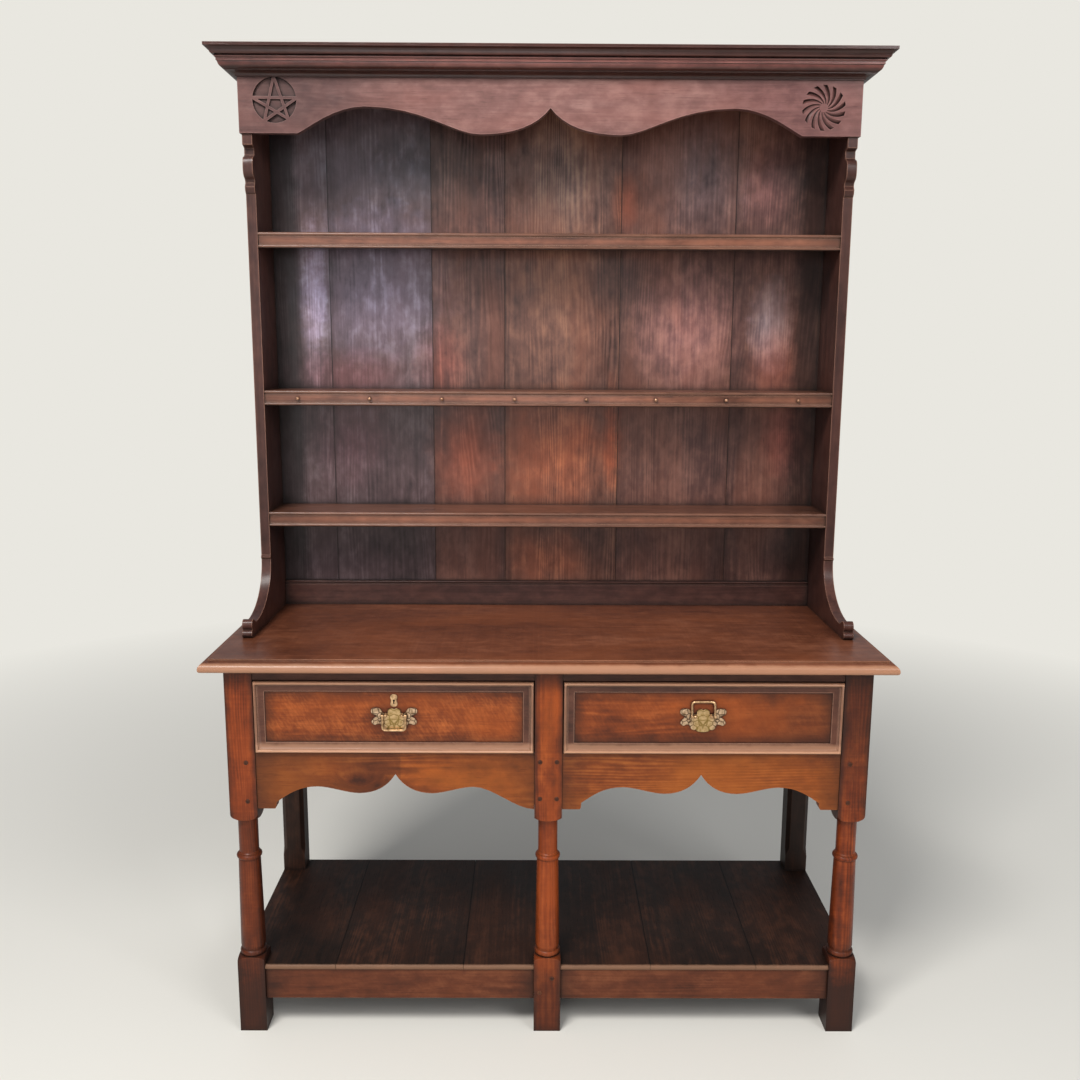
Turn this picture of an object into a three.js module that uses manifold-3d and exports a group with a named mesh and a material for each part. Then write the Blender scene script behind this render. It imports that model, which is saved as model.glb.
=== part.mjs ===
// Welsh dresser: an oak base with two drawers over a potboard, on three turned front
// posts and two square rear posts, and an open rack of three shelves that stands on it.
// Millimetres. +X runs to the right, +Y to the back, +Z up.
// The origin is on the floor, under the middle of the dresser top.

import * as THREE from 'three';
import { mergeVertices } from 'three/addons/utils/BufferGeometryUtils.js';
import Module from 'manifold-3d';

const wasm = await Module();
wasm.setup();

// Fits
const fit = 0.3; // gap between two pieces that touch
const slideGap = 1.5; // gap round a drawer front in its opening
const overrun = 5; // how far a cut runs past the face it opens
const arcSteps = 6; // straight steps in a moulded curve
const outlineSteps = 8; // straight steps in a curve of a sawn outline
const samePoint = 0.01; // points of a profile closer than this are one point

// Dresser top
const topHeight = 820; // floor to working surface
const topThickness = 25;
const topSideOverhang = 42; // beyond the outer faces of the posts
const topFrontOverhang = 30; // beyond the front posts
const topRearOverhang = 6; // beyond the rear posts
const topEdgeReach = 17; // how far the moulded edge runs in
const topEdgeStep = 4; // upright step above the moulded curve
const topEdgeLip = 8; // height of the nose, under the moulded curve
const topEdgeRound = 6; // radius under the nose

// Base frame
const baseWidth = 1296; // over the outer faces of the posts
const baseDepth = 470; // front face of the front posts to back face of the rear ones
const postSize = 56;
const rearPostSize = 52;
const pieceSetback = 2; // rails, aprons and drawer fronts behind the face of the posts
const panelInset = 4; // side panels and side rails in from the outer face of the posts
const tenonLength = 22;
const tenonThickness = 8;
const tenonShoulder = 6; // shoulder above and below a tenon

// Turning of the front posts, as heights above the floor and radii
const turnedFacets = 24;
const footBlockHeight = 169;
const lowerShoulder = 11; // height over which the corners of the foot block are turned away
const baseBeadRadius = 27.5;
const baseBeadHeight = 12;
const filletRadius = 23.5;
const filletHeight = 4;
const shaftFootRadius = 25.5;
const shaftTopRadius = 22.5;
const ringHeight = 389; // middle of the ring
const ringRadius = 26;
const ringThickness = 10;
const ringCollar = 2; // narrow collar on each side of the ring
const neckFootRadius = 22;
const neckRadius = 20;
const coveHeight = 9; // flare of the neck under the upper block
const upperShoulder = 16; // the same at the upper block
const upperBlockFoot = 489; // underside of the upper square block

// Stopped chamfers of the rear posts
const chamferLeg = 9;
const chamferFoot = 190;
const chamferTop = 470;
const chamferRunOut = 18; // length over which a chamfer fades out
const chamferFaint = 0.5; // leg of a chamfer where it ends

// Rails, aprons and panels round the drawers
const topRailHeight = 22;
const topRailDepth = 45;
const openingHeight = 153; // clear height of a drawer opening
const apronHeight = 120;
const apronThickness = 24;
const apronEndLength = 35; // straight lower edge of an ear next to a post
const apronStepRise = 14; // steep side of an ear
const apronCrestRise = 48;
const apronLobeRise = 34;
const apronCuspRise = 75;
const sidePanelThickness = 18;
const backPanelThickness = 15;
const backPanelInset = 3; // in from the back face of the rear posts
const panelHeight = 295;

// Drawer runners
const runnerThickness = 20;
const runnerReach = 18; // how far a runner reaches under a drawer
const guideHeight = 20; // of the guide beside a drawer
const runnerTenonWidth = 24;
const runnerTenonLength = 9;
const runnerShoulder = 5;

// Potboard and its rails
const potboardHeight = 150; // floor to the upper face
const potboardThickness = 12;
const potboardFrontSetback = 3; // nosing behind the front face of the posts
const potboardJoint = 0.6; // open joint between two boards
const potboardSeams = [-444, -176, 217, 439]; // joints, from the middle of the dresser
const potRailHeight = 66;
const potRailThickness = 24;
const potRailSetback = 8;

// Drawers
const drawerFrontThickness = 22;
const drawerSideThickness = 12;
const drawerSideHeight = 125;
const drawerBackThickness = 11;
const drawerBackDrop = 6; // back lower than the sides
const drawerBottomThickness = 8;
const drawerBottomHeight = 10; // underside of the bottom above the edge of the sides
const drawerGrooveDepth = 5;
const lapThickness = 7; // front left uncut in front of the tails
const frontTailCount = 3;
const backTailCount = 2;
const tailNeckShare = 0.44; // neck of a tail, as a share of its pitch
const tailEndShare = 0.66; // wide end of a tail, as a share of its pitch

// Applied moulding round a drawer front
const mouldingWidth = 21;
const mouldingProjection = 9;
const mouldingInset = 1; // in from the edge of the drawer front
const mouldingBead = 6; // width of its outer bead
const mouldingFlat = 2; // flat between the bead and the hollow
const mouldingToe = 2; // thickness at its inner edge
const mouldingSide = 5; // upright outer side under the bead

// Lock in the left drawer
const lockWidth = 60;
const lockHeight = 44;
const lockDepth = 6; // proud of the back of the drawer front
const keyholeRise = 30; // above the pivots of the handle
const keyholeRadius = 2.2;
const keyholeSlot = 2.4; // width of the slot
const keyholeDrop = 7; // slot below the round hole
const lockWallThickness = 2; // left uncut behind the keyhole
const boltSlotWidth = 16;
const boltSlotThickness = 5;
const boltSlotDepth = 8;
const escutcheonWidth = 14;
const escutcheonHeight = 26;
const escutcheonThickness = 1.2;
const escutcheonWaistShare = 0.62; // its waist, as a share of its width

// Batwing handles
const handleHeight = 80.7; // pivots above the lower edge of the drawer sides
const plateThickness = 1.6;
const plateWidth = 92;
const plateRise = 15; // above the pivots
const plateDrop = 34; // below the pivots
const pivotSpacing = 33; // between the middles of the two handle posts
const pivotStandoff = 6.5; // pivot axis in front of the plate
const pivotRadius = 1.5;
const pivotHoleRadius = 1.9;
const postHeadRadius = 3.4;
const postNeckRadius = 2;
const postCollarRadius = 4;
const postCollarThickness = 1.4;
const shankHoleRadius = 2.4;
const nutRadius = 5;
const nutThickness = 3;
const bailReach = 30; // pivot axis to the middle of the grip
const bailHalfSpan = 23; // middle of the bail to the middle of an arm
const bailRadius = 2.3;
const bailCorner = 7; // bend radius of the corners of the bail
const bailEyeRadius = 2.8;
const bailEyeLength = 5;
const bailSteps = 26;
const smallFacets = 12; // facets of small round brass work
const rodFacets = 8;

// Rack
const rackSideInset = 2; // of its sides, in from the outer faces of the posts
const rackDepth = 146; // front edge to back face
const rackRearInset = 10; // in from the rear edge of the dresser top
const rackHeight = 1210; // feet to the top of the cornice
const rackRoofThickness = 15.7;
const rackSideThickness = 21;
const footReach = 328; // back face to the front of a foot
const footLobeHeight = 38; // top of the scroll of a foot
const footLobeRadius = 11;
const footToeRadius = 8;
const footLobeSetback = 3; // front of the scroll behind the front of the toe
const footHollow = 27; // lowest point of the sweep above the dresser top
const sweepHeight = 135; // where the sweep meets the straight front edge
const sweepReach = 145; // how far the sweep comes forward
const nibReach = 5; // small point above the sweep
const nibHeight = 9;
const bracketHeight = 120; // carved bracket under the frieze
const bracketReach = 18;
const rebateWidth = 10; // of the sides, for the back boards
const housingDepth = 8; // of the sides, for the shelves

// Shelves, as heights of their upper faces above the feet of the rack
const shelfHeights = { bottom: 242, middle: 512, top: 848 };
const shelfThickness = 20;
const shelfLipHeight = 33;
const shelfLipThickness = 12;
const shelfSetback = 1; // behind the front edge of the sides
const shelfBeadHeight = 7;
const shelfHollow = 3; // depth of the flat between the two beads

// Back boards
const backBoardThickness = 10;
const backBoardSeams = [-500, -267, -101, 163, 422]; // joints, from the middle of the rack
const tongueLength = 4;
const tongueThickness = 3;
const bottomRailHeight = 58;
const bottomRailThickness = 9;
const bottomRailBead = 5;

// Frieze
const friezeThickness = 18;
const friezeHeight = 161; // flat lower edge to top edge
const friezeTopMargin = 4; // top edge of the frieze below the top of the cornice
const friezeSideOverhang = 4; // beyond the sides of the rack
const friezeEndWidth = 122; // flat part at each end, under the carved roundels
const friezeArchRise = 54;
const friezeCuspRise = 53;
const friezeLobeShare = 0.28; // lowest point of the lobe, as a share of the shaped half
const friezePeakShare = 0.733; // highest point of the arch, as a share of the same

// Cornice, as heights above its foot and projections from the frieze
const corniceHeight = 54;
const corniceProjection = 53;
const corniceFootProjection = 3;
const corniceFootFillet = 3;
const corniceHollowWidth = 15; // of the lower hollow
const corniceHollowHeight = 6;
const corniceStep = 2; // small upright or flat step between two mouldings
const corniceOvoloWidth = 11;
const corniceOvoloHeight = 13;
const corniceFascia = 5; // height of the flat fascia
const corniceBead = 6; // height of the bead over the fascia
const corniceSoffit = 6; // flat underside over the bead
const corniceRoundWidth = 4; // of the small round over the soffit
const corniceRoundHeight = 5;
const corniceTopFillet = 6;

// Driving places, worked out from the sizes above
const topWidth = baseWidth + 2 * topSideOverhang;
const topDepth = baseDepth + topFrontOverhang + topRearOverhang;
const frontY = -topDepth / 2 + topFrontOverhang;
const rearY = frontY + baseDepth;
const topUnderside = topHeight - topThickness;
const frameTop = topUnderside - fit;
const outerX = baseWidth / 2;
const postInnerX = outerX - postSize;
const postCentreX = outerX - postSize / 2;
const postRearY = frontY + postSize;
const rearPostFrontY = rearY - rearPostSize;
const topRailFoot = topUnderside - topRailHeight;
const runnerTop = topRailFoot - openingHeight;
const apronFoot = runnerTop - apronHeight;
const panelFoot = frameTop - panelHeight;
const backPanelY = [rearY - backPanelInset - backPanelThickness, rearY - backPanelInset];
const potRailTop = potboardHeight - potboardThickness - fit;
const bayWidth = postInnerX - postSize / 2;
const bayCentreX = postInnerX - bayWidth / 2;
const panelX = [outerX - panelInset - sidePanelThickness, outerX - panelInset];
const pieceFrontY = frontY + pieceSetback;

const drawerWidth = bayWidth - 2 * slideGap;
const drawerFrontHeight = openingHeight - 2 * slideGap;
const drawerLift = slideGap - fit; // lower edge of the front above that of the sides
const drawerLength = backPanelY[0] - fit - pieceFrontY;
const keyholeHeight = handleHeight + keyholeRise;
const plateFace = fit + plateThickness; // from the drawer front to the face of a plate
const pivotOut = plateFace + pivotStandoff; // from the drawer front to the pivot axis
const bailLean = Math.asin((pivotOut - bailRadius - fit) / bailReach);

const rackWidth = baseWidth - 2 * rackSideInset;
const rackInnerX = rackWidth / 2 - rackSideThickness;
const friezeHalfWidth = rackWidth / 2 + friezeSideOverhang;
const rackBackY = topDepth / 2 - rackRearInset;
const friezeTop = rackHeight - friezeTopMargin;
const friezeFoot = friezeTop - friezeHeight;
const rackSideHeight = friezeTop - rackRoofThickness - fit;
const corniceFoot = rackHeight - corniceHeight;

// Colours of the woods and the brass
const finishes = {
  postOak: { color: 0x8f4a26, roughness: 0.42, metalness: 0 },
  frontOak: { color: 0x8a4628, roughness: 0.4, metalness: 0 },
  topOak: { color: 0x6d4436, roughness: 0.36, metalness: 0 },
  potOak: { color: 0x3c2a22, roughness: 0.6, metalness: 0 },
  rackOak: { color: 0x5a3426, roughness: 0.45, metalness: 0 },
  friezeOak: { color: 0x7a5348, roughness: 0.38, metalness: 0 },
  innerOak: { color: 0x9c7850, roughness: 0.75, metalness: 0 },
  brass: { color: 0xb39a5c, roughness: 0.38, metalness: 1 },
};

// Turns a closed three.js geometry into a solid that can be joined and cut.
function toSolid(geometry) {
  geometry.deleteAttribute('normal');
  geometry.deleteAttribute('uv');
  const merged = mergeVertices(geometry);
  const mesh = new wasm.Mesh({
    numProp: 3,
    vertProperties: new Float32Array(merged.attributes.position.array),
    triVerts: new Uint32Array(merged.index.array),
  });
  return new wasm.Manifold(mesh);
}

// Turns a solid back into a geometry with normals.
function toGeometry(solid) {
  const mesh = solid.getMesh();
  const geometry = new THREE.BufferGeometry();
  geometry.setAttribute('position', new THREE.BufferAttribute(mesh.vertProperties, mesh.numProp));
  geometry.setIndex(new THREE.BufferAttribute(mesh.triVerts, 1));
  geometry.computeVertexNormals();
  return geometry;
}

function join(solids) {
  return solids.reduce((whole, solid) => whole.add(solid));
}

function cut(solid, tools) {
  return tools.reduce((rest, tool) => rest.subtract(tool), solid);
}

// A box is written as its x, y and z ranges.
function box(x, y, z) {
  return { x, y, z };
}

function boxSolid({ x, y, z }) {
  const geometry = new THREE.BoxGeometry(x[1] - x[0], y[1] - y[0], z[1] - z[0]);
  geometry.translate((x[0] + x[1]) / 2, (y[0] + y[1]) / 2, (z[0] + z[1]) / 2);
  return toSolid(geometry);
}

// The range of the given width about the middle of another range.
function centred(range, width) {
  const middle = (range[0] + range[1]) / 2;
  return [middle - width / 2, middle + width / 2];
}

function widened(range, by) {
  return [range[0] - by, range[1] + by];
}

// The same box, larger all round by the fit, for the hole that the box goes into.
function loosened({ x, y, z }) {
  return box(widened(x, fit), widened(y, fit), widened(z, fit));
}

function mirroredRange(range) {
  return [-range[1], -range[0]];
}

function mirroredBox({ x, y, z }) {
  return box(mirroredRange(x), y, z);
}

// A flat outline drawn in x and z, made thick along y.
function slabAlongY(outline, y) {
  const options = { depth: y[1] - y[0], bevelEnabled: false, curveSegments: outlineSteps };
  const geometry = new THREE.ExtrudeGeometry(outline, options);
  geometry.rotateX(Math.PI / 2);
  geometry.translate(0, y[1], 0);
  return toSolid(geometry);
}

// A flat outline drawn in y and z, made thick along x.
function slabAlongX(outline, x) {
  const options = { depth: x[1] - x[0], bevelEnabled: false, curveSegments: outlineSteps };
  const geometry = new THREE.ExtrudeGeometry(outline, options);
  geometry.rotateX(Math.PI / 2);
  geometry.rotateZ(Math.PI / 2);
  geometry.translate(x[0], 0, 0);
  return toSolid(geometry);
}

// A flat outline drawn in x and y, made thick along z.
function slabAlongZ(outline, z) {
  const options = { depth: z[1] - z[0], bevelEnabled: false, curveSegments: outlineSteps };
  const geometry = new THREE.ExtrudeGeometry(outline, options);
  geometry.translate(0, 0, z[0]);
  return toSolid(geometry);
}

// A profile of radii and heights turned about the vertical axis.
function turned(points, facets) {
  const geometry = new THREE.LatheGeometry(points, facets);
  geometry.rotateX(Math.PI / 2);
  return toSolid(geometry);
}

// A round bar along x, y or z.
function bar(axis, radius, range, facets) {
  const geometry = new THREE.CylinderGeometry(radius, radius, range[1] - range[0], facets);
  if (axis === 'x') geometry.rotateZ(Math.PI / 2);
  if (axis === 'z') geometry.rotateX(Math.PI / 2);
  const middle = (range[0] + range[1]) / 2;
  const offset = new THREE.Vector3();
  offset[axis] = middle;
  geometry.translate(offset.x, offset.y, offset.z);
  return toSolid(geometry);
}

// A skin over sections that all have the same number of points. An open run gets a cap
// at each end, and flat gives the outline that the caps are filled from.
function loft(sections, closed, flat) {
  const count = sections[0].length;
  const positions = sections.flat().flatMap((point) => [point.x, point.y, point.z]);
  const index = [];
  const runs = closed ? sections.length : sections.length - 1;
  for (let run = 0; run < runs; run += 1) {
    const here = run * count;
    const next = ((run + 1) % sections.length) * count;
    for (let i = 0; i < count; i += 1) {
      const j = (i + 1) % count;
      index.push(here + i, here + j, next + j);
      index.push(here + i, next + j, next + i);
    }
  }
  if (!closed) {
    const last = (sections.length - 1) * count;
    for (const [a, b, c] of THREE.ShapeUtils.triangulateShape(flat, [])) {
      index.push(a, c, b);
      index.push(last + a, last + b, last + c);
    }
  }
  const geometry = new THREE.BufferGeometry();
  geometry.setAttribute('position', new THREE.Float32BufferAttribute(positions, 3));
  geometry.setIndex(index);
  return toSolid(geometry);
}

// Points of an arc about a centre, from one angle to another, in degrees.
function arc(centreX, centreY, radiusX, radiusY, from, to, steps) {
  const points = [];
  for (let i = 0; i <= steps; i += 1) {
    const angle = THREE.MathUtils.degToRad(from + ((to - from) * i) / steps);
    points.push(point(centreX + radiusX * Math.cos(angle), centreY + radiusY * Math.sin(angle)));
  }
  return points;
}

function point(x, y) {
  return new THREE.Vector2(x, y);
}

function place(group, name, solid, finish) {
  const mesh = new THREE.Mesh(toGeometry(solid), new THREE.MeshStandardMaterial(finishes[finish]));
  mesh.name = name;
  group.add(mesh);
  return mesh;
}

// The two tenons of a rail that runs along one axis, thin across another. Each box
// reaches as far into the rail as it stands out of it.
function tenonPair(rail, axis, thin, length = tenonLength) {
  return rail[axis].map((end) => ({
    ...rail,
    z: widened(rail.z, -tenonShoulder),
    [thin]: centred(rail[thin], tenonThickness),
    [axis]: widened([end, end], length),
  }));
}

// A rail's body, short of the posts by the fit, with its tenons.
function railSolid(rail, axis, tenons) {
  const body = { ...rail, [axis]: widened(rail[axis], -fit) };
  return join([boxSolid(body), ...tenons.map(boxSolid)]);
}

// Dresser top: one board with a moulded edge at the front and both ends.
function dresserTop() {
  const curveTop = topUnderside + topThickness - topEdgeStep;
  const curveFoot = topUnderside + topEdgeLip;
  const edge = [
    ...arc(topEdgeRound, topUnderside + topEdgeRound, topEdgeRound, topEdgeRound, 270, 180, arcSteps),
    ...arc(topEdgeReach, curveFoot, topEdgeReach, curveTop - curveFoot, 180, 90, arcSteps),
    point(topEdgeReach, topHeight),
  ];
  const plan = (inset) => {
    const x = topWidth / 2 - inset;
    const front = -topDepth / 2 + inset;
    return [point(-x, front), point(x, front), point(x, topDepth / 2), point(-x, topDepth / 2)];
  };
  const sections = edge.map(({ x: inset, y: height }) =>
    plan(inset).map((corner) => new THREE.Vector3(corner.x, corner.y, height)));
  return loft(sections, false, plan(0));
}

// A half round bead between two heights, standing out from one radius to another.
function bead(low, high, inner, outer) {
  return arc(inner, (low + high) / 2, outer - inner, (high - low) / 2, -90, 90, arcSteps);
}

// Profile of a front post. Where it is wider than the square, the post stays square.
function postProfile() {
  const corner = postSize * Math.SQRT1_2;
  const beadTop = footBlockHeight + baseBeadHeight;
  const shaftFoot = beadTop + filletHeight;
  const ringFoot = ringHeight - ringThickness / 2;
  const ringTop = ringHeight + ringThickness / 2;
  const neckTop = upperBlockFoot - upperShoulder - coveHeight;
  const shoulderFoot = footBlockHeight - lowerShoulder;
  return [
    point(0, 0),
    point(corner + overrun, 0),
    point(corner + overrun, shoulderFoot),
    ...arc(filletRadius, shoulderFoot, corner - filletRadius, lowerShoulder, 0, 90, arcSteps),
    ...bead(footBlockHeight, beadTop, filletRadius, baseBeadRadius),
    point(filletRadius, shaftFoot),
    point(shaftFootRadius, shaftFoot + filletHeight),
    point(shaftTopRadius, ringFoot - 2 * ringCollar),
    point(neckFootRadius, ringFoot - ringCollar),
    point(neckFootRadius, ringFoot),
    ...bead(ringFoot, ringTop, neckFootRadius, ringRadius),
    point(neckFootRadius, ringTop + ringCollar),
    point(neckRadius, ringTop + 2 * ringCollar),
    point(neckRadius, neckTop),
    point(neckFootRadius, neckTop + coveHeight),
    ...arc(neckFootRadius, upperBlockFoot, corner - neckFootRadius, upperShoulder, -90, 0, arcSteps),
    point(corner + overrun, upperBlockFoot),
    point(corner + overrun, frameTop),
    point(0, frameTop),
  ];
}

// Drops each point that lies on the one before it.
function distinct(points) {
  return points.filter((p, i) => i === 0 || p.distanceTo(points[i - 1]) > samePoint);
}

// A front post in its own frame: its axis is at x = y = 0.
function frontPost(centreX, mortises) {
  const square = boxSolid(box(
    [-postSize / 2, postSize / 2],
    [-postSize / 2, postSize / 2],
    [0, frameTop],
  ));
  const post = square.intersect(turned(distinct(postProfile()), turnedFacets));
  const centreY = frontY + postSize / 2;
  const holes = mortises.map((hole) => boxSolid(loosened(hole)).translate([-centreX, -centreY, 0]));
  return cut(post, holes);
}

// The wedge that a stopped chamfer takes off a corner, with its legs along x and y.
function chamferWedge(signX) {
  const levels = [
    point(chamferFaint, chamferFoot),
    point(chamferLeg, chamferFoot + chamferRunOut),
    point(chamferLeg, chamferTop - chamferRunOut),
    point(chamferFaint, chamferTop),
  ];
  const flat = (leg) => [
    point(signX * overrun, -overrun),
    point(signX * overrun, leg),
    point(0, leg),
    point(-signX * leg, 0),
    point(-signX * leg, -overrun),
  ];
  const outline = signX > 0 ? flat(chamferLeg) : flat(chamferLeg).reverse();
  const sections = levels.map(({ x: leg, y: height }) => {
    const corners = signX > 0 ? flat(leg) : flat(leg).reverse();
    return corners.map((corner) => new THREE.Vector3(corner.x, corner.y, height));
  });
  return loft(sections, false, outline);
}

// A rear post, square, with a stopped chamfer on each of its two front corners.
function rearPost(side, mortises) {
  const x = side < 0 ? [-outerX, -outerX + rearPostSize] : [outerX - rearPostSize, outerX];
  const post = boxSolid(box(x, [rearPostFrontY, rearY], [0, frameTop]));
  const wedges = [
    chamferWedge(-1).translate([x[0], rearPostFrontY, 0]),
    chamferWedge(1).translate([x[1], rearPostFrontY, 0]),
  ];
  return cut(post, [...wedges, ...mortises.map((hole) => boxSolid(loosened(hole)))]);
}

// Where the rails, aprons and panels run, from post to post. The right hand ones mirror these.
const leftBay = [-postInnerX, -postSize / 2];
const sideRun = [postRearY, rearPostFrontY];
const rearRun = [-outerX + rearPostSize, outerX - rearPostSize];
const topRailBox = box(leftBay, [pieceFrontY, pieceFrontY + topRailDepth], [topRailFoot, frameTop]);
const apronBox = box(leftBay, [pieceFrontY, pieceFrontY + apronThickness], [apronFoot, runnerTop]);
const potRailZ = [potRailTop - potRailHeight, potRailTop];
const potRailFrontY = frontY + potRailSetback;
const potRailFrontBox = box(leftBay, [potRailFrontY, potRailFrontY + potRailThickness], potRailZ);
const potRailSideX = [-outerX + panelInset, -outerX + panelInset + potRailThickness];
const potRailSideBox = box(potRailSideX, sideRun, potRailZ);
const potRailRearY = rearY - potRailSetback;
const potRailBackBox = box(rearRun, [potRailRearY - potRailThickness, potRailRearY], potRailZ);
const sidePanelBox = box(mirroredRange(panelX), sideRun, [panelFoot, frameTop]);
const backPanelBox = box(rearRun, backPanelY, [panelFoot, frameTop]);

const tenons = {
  topRail: tenonPair(topRailBox, 'x', 'y'),
  apron: tenonPair(apronBox, 'x', 'y'),
  potRailFront: tenonPair(potRailFrontBox, 'x', 'y'),
  potRailSide: tenonPair(potRailSideBox, 'y', 'x'),
  potRailBack: tenonPair(potRailBackBox, 'x', 'y'),
  sidePanel: tenonPair(sidePanelBox, 'y', 'x'),
  backPanel: tenonPair(backPanelBox, 'x', 'y'),
};

const runnerZ = [runnerTop - runnerThickness, runnerTop];
const middleRunnerY = [postRearY, backPanelY[0]];
const middleRunnerTenons = middleRunnerY.map((end) => box(
  centred([0, 0], runnerTenonWidth),
  widened([end, end], runnerTenonLength),
  widened(runnerZ, -runnerShoulder),
));

// Every mortise of the posts, both sides of the dresser.
const mortises = [
  ...Object.values(tenons).flat(),
  ...Object.values(tenons).flat().map(mirroredBox),
  middleRunnerTenons[0],
];

// One half of the shaped lower edge of an apron, from a post to the middle cusp, as
// steps of a path. across runs from 0 at the post to the half width of the bay.
function apronHalf(across, hasEar) {
  const shaped = bayWidth / 2 - apronEndLength;
  const at = (share) => across(apronEndLength + shaped * share);
  const stepShare = 0.016;
  const riseShare = 0.2;
  const crestShare = 0.36;
  const lobeShare = 0.7;
  const easeShare = 0.1;
  const cuspShare = 0.9;
  const kneeZ = apronFoot + (apronStepRise + apronCrestRise) / 2;
  const crestZ = apronFoot + apronCrestRise;
  const lobeZ = apronFoot + apronLobeRise;
  const ear = [
    { to: [at(0), apronFoot] },
    { to: [at(stepShare), apronFoot + apronStepRise], by: [[at(stepShare), apronFoot]] },
    { to: [at(crestShare), crestZ], by: [[at(stepShare + easeShare), kneeZ], [at(riseShare), crestZ]] },
  ];
  const slope = [
    { to: [across(0), apronFoot] },
    { to: [at(crestShare), crestZ], by: [[at(stepShare), apronFoot], [at(riseShare), crestZ]] },
  ];
  return [
    ...(hasEar ? ear : slope),
    {
      to: [at(lobeShare), lobeZ],
      by: [[at(crestShare + easeShare), crestZ], [at(lobeShare - easeShare), lobeZ]],
    },
    { to: [at(1), apronFoot + apronCuspRise], by: [[at(cuspShare), lobeZ]] },
  ];
}

// Adds steps to a path: straight, or bent by one or two control points.
function follow(path, steps) {
  for (const { to, by = [] } of steps) {
    if (by.length === 0) path.lineTo(...to);
    if (by.length === 1) path.quadraticCurveTo(...by[0], ...to);
    if (by.length === 2) path.bezierCurveTo(...by[0], ...by[1], ...to);
  }
}

// The same steps walked from their end back to their start.
function reversed(steps) {
  const back = [];
  for (let i = steps.length - 1; i > 0; i -= 1) {
    back.push({ to: steps[i - 1].to, by: [...(steps[i].by ?? [])].reverse() });
  }
  return back;
}

// An apron, drawn for the left bay. Its inner end has an ear or runs down to the post.
function apron(hasInnerEar) {
  const x = widened(apronBox.x, -fit);
  const outer = apronHalf((distance) => apronBox.x[0] + distance, true);
  const inner = apronHalf((distance) => apronBox.x[1] - fit - distance, hasInnerEar);
  const outline = new THREE.Shape();
  outline.moveTo(x[0], runnerTop);
  outline.lineTo(x[0], apronFoot);
  follow(outline, outer);
  follow(outline, reversed(inner));
  if (hasInnerEar) outline.lineTo(x[1], apronFoot);
  outline.lineTo(x[1], runnerTop);
  return join([slabAlongY(outline, apronBox.y), ...tenons.apron.map(boxSolid)]);
}

// Side panel with the runner and guide of the outer side of a drawer on its inner face.
function sidePanel() {
  const inner = sidePanelBox.x[1] - overrun;
  const y = widened(sideRun, -fit);
  const runner = boxSolid(box([inner, -postInnerX + runnerReach], y, runnerZ));
  const guide = boxSolid(box([inner, -postInnerX], y, [runnerTop - overrun, runnerTop + guideHeight]));
  return join([railSolid(sidePanelBox, 'y', tenons.sidePanel), runner, guide]);
}

// Runner between the two drawers, with the guide that keeps them apart.
function middleRunner() {
  const y = widened(middleRunnerY, -fit);
  const guideX = [-postSize / 2, postSize / 2];
  const runner = boxSolid(box(widened(guideX, runnerReach), y, runnerZ));
  const guide = boxSolid(box(guideX, y, [runnerTop - overrun, runnerTop + guideHeight]));
  return join([runner, guide, ...middleRunnerTenons.map(boxSolid)]);
}

function backPanel() {
  const panel = railSolid(backPanelBox, 'x', tenons.backPanel);
  return cut(panel, [boxSolid(loosened(middleRunnerTenons[1]))]);
}

// Left top rail, with the slot that the bolt of the drawer lock rises into.
function topRailLeft() {
  const boltY = pieceFrontY + drawerFrontThickness;
  const slot = box(
    centred([-bayCentreX, -bayCentreX], boltSlotWidth),
    centred([boltY, boltY], boltSlotThickness),
    [topRailFoot - overrun, topRailFoot + boltSlotDepth],
  );
  return cut(railSolid(topRailBox, 'x', tenons.topRail), [boxSolid(slot)]);
}

// One board of the potboard, with a rounded front edge, cut round the posts.
function potBoard(from, to) {
  const front = frontY + potboardFrontSetback;
  const radius = potboardThickness / 2;
  const foot = potboardHeight - potboardThickness;
  const outline = new THREE.Shape();
  outline.moveTo(rearY, foot);
  outline.lineTo(rearY, potboardHeight);
  outline.lineTo(front + radius, potboardHeight);
  outline.absarc(front + radius, foot + radius, radius, Math.PI / 2, (Math.PI * 3) / 2, false);
  const board = slabAlongX(outline, [from, to]);
  const z = [foot - overrun, potboardHeight + overrun];
  const frontNotchY = [front - overrun, postRearY + fit];
  const rearNotchY = [rearPostFrontY - fit, rearY + overrun];
  const notches = [
    box([-outerX - overrun, -postInnerX + fit], frontNotchY, z),
    box(widened([-postSize / 2, postSize / 2], fit), frontNotchY, z),
    box([postInnerX - fit, outerX + overrun], frontNotchY, z),
    box([-outerX - overrun, -outerX + rearPostSize + fit], rearNotchY, z),
    box([outerX - rearPostSize - fit, outerX + overrun], rearNotchY, z),
  ];
  return cut(board, notches.map(boxSolid));
}

// The tails on the end of a board, as outlines in y and z that widen towards the tip.
// They start root deep in the board, and gap makes them larger for a socket.
function tailOutlines(neckY, tipY, z, count, gap) {
  const direction = Math.sign(tipY - neckY);
  const pitch = (z[1] - z[0]) / count;
  const outlines = [];
  for (let i = 0; i < count; i += 1) {
    const middle = z[0] + pitch * (i + 1 / 2);
    const neck = (pitch * tailNeckShare) / 2 + gap;
    const end = (pitch * tailEndShare) / 2 + gap;
    const root = neckY - direction * overrun;
    const tip = tipY + direction * gap;
    outlines.push(new THREE.Shape([
      point(root, middle - neck),
      point(neckY, middle - neck),
      point(tip, middle - end),
      point(tip, middle + end),
      point(neckY, middle + neck),
      point(root, middle + neck),
    ]));
  }
  return outlines;
}

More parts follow.
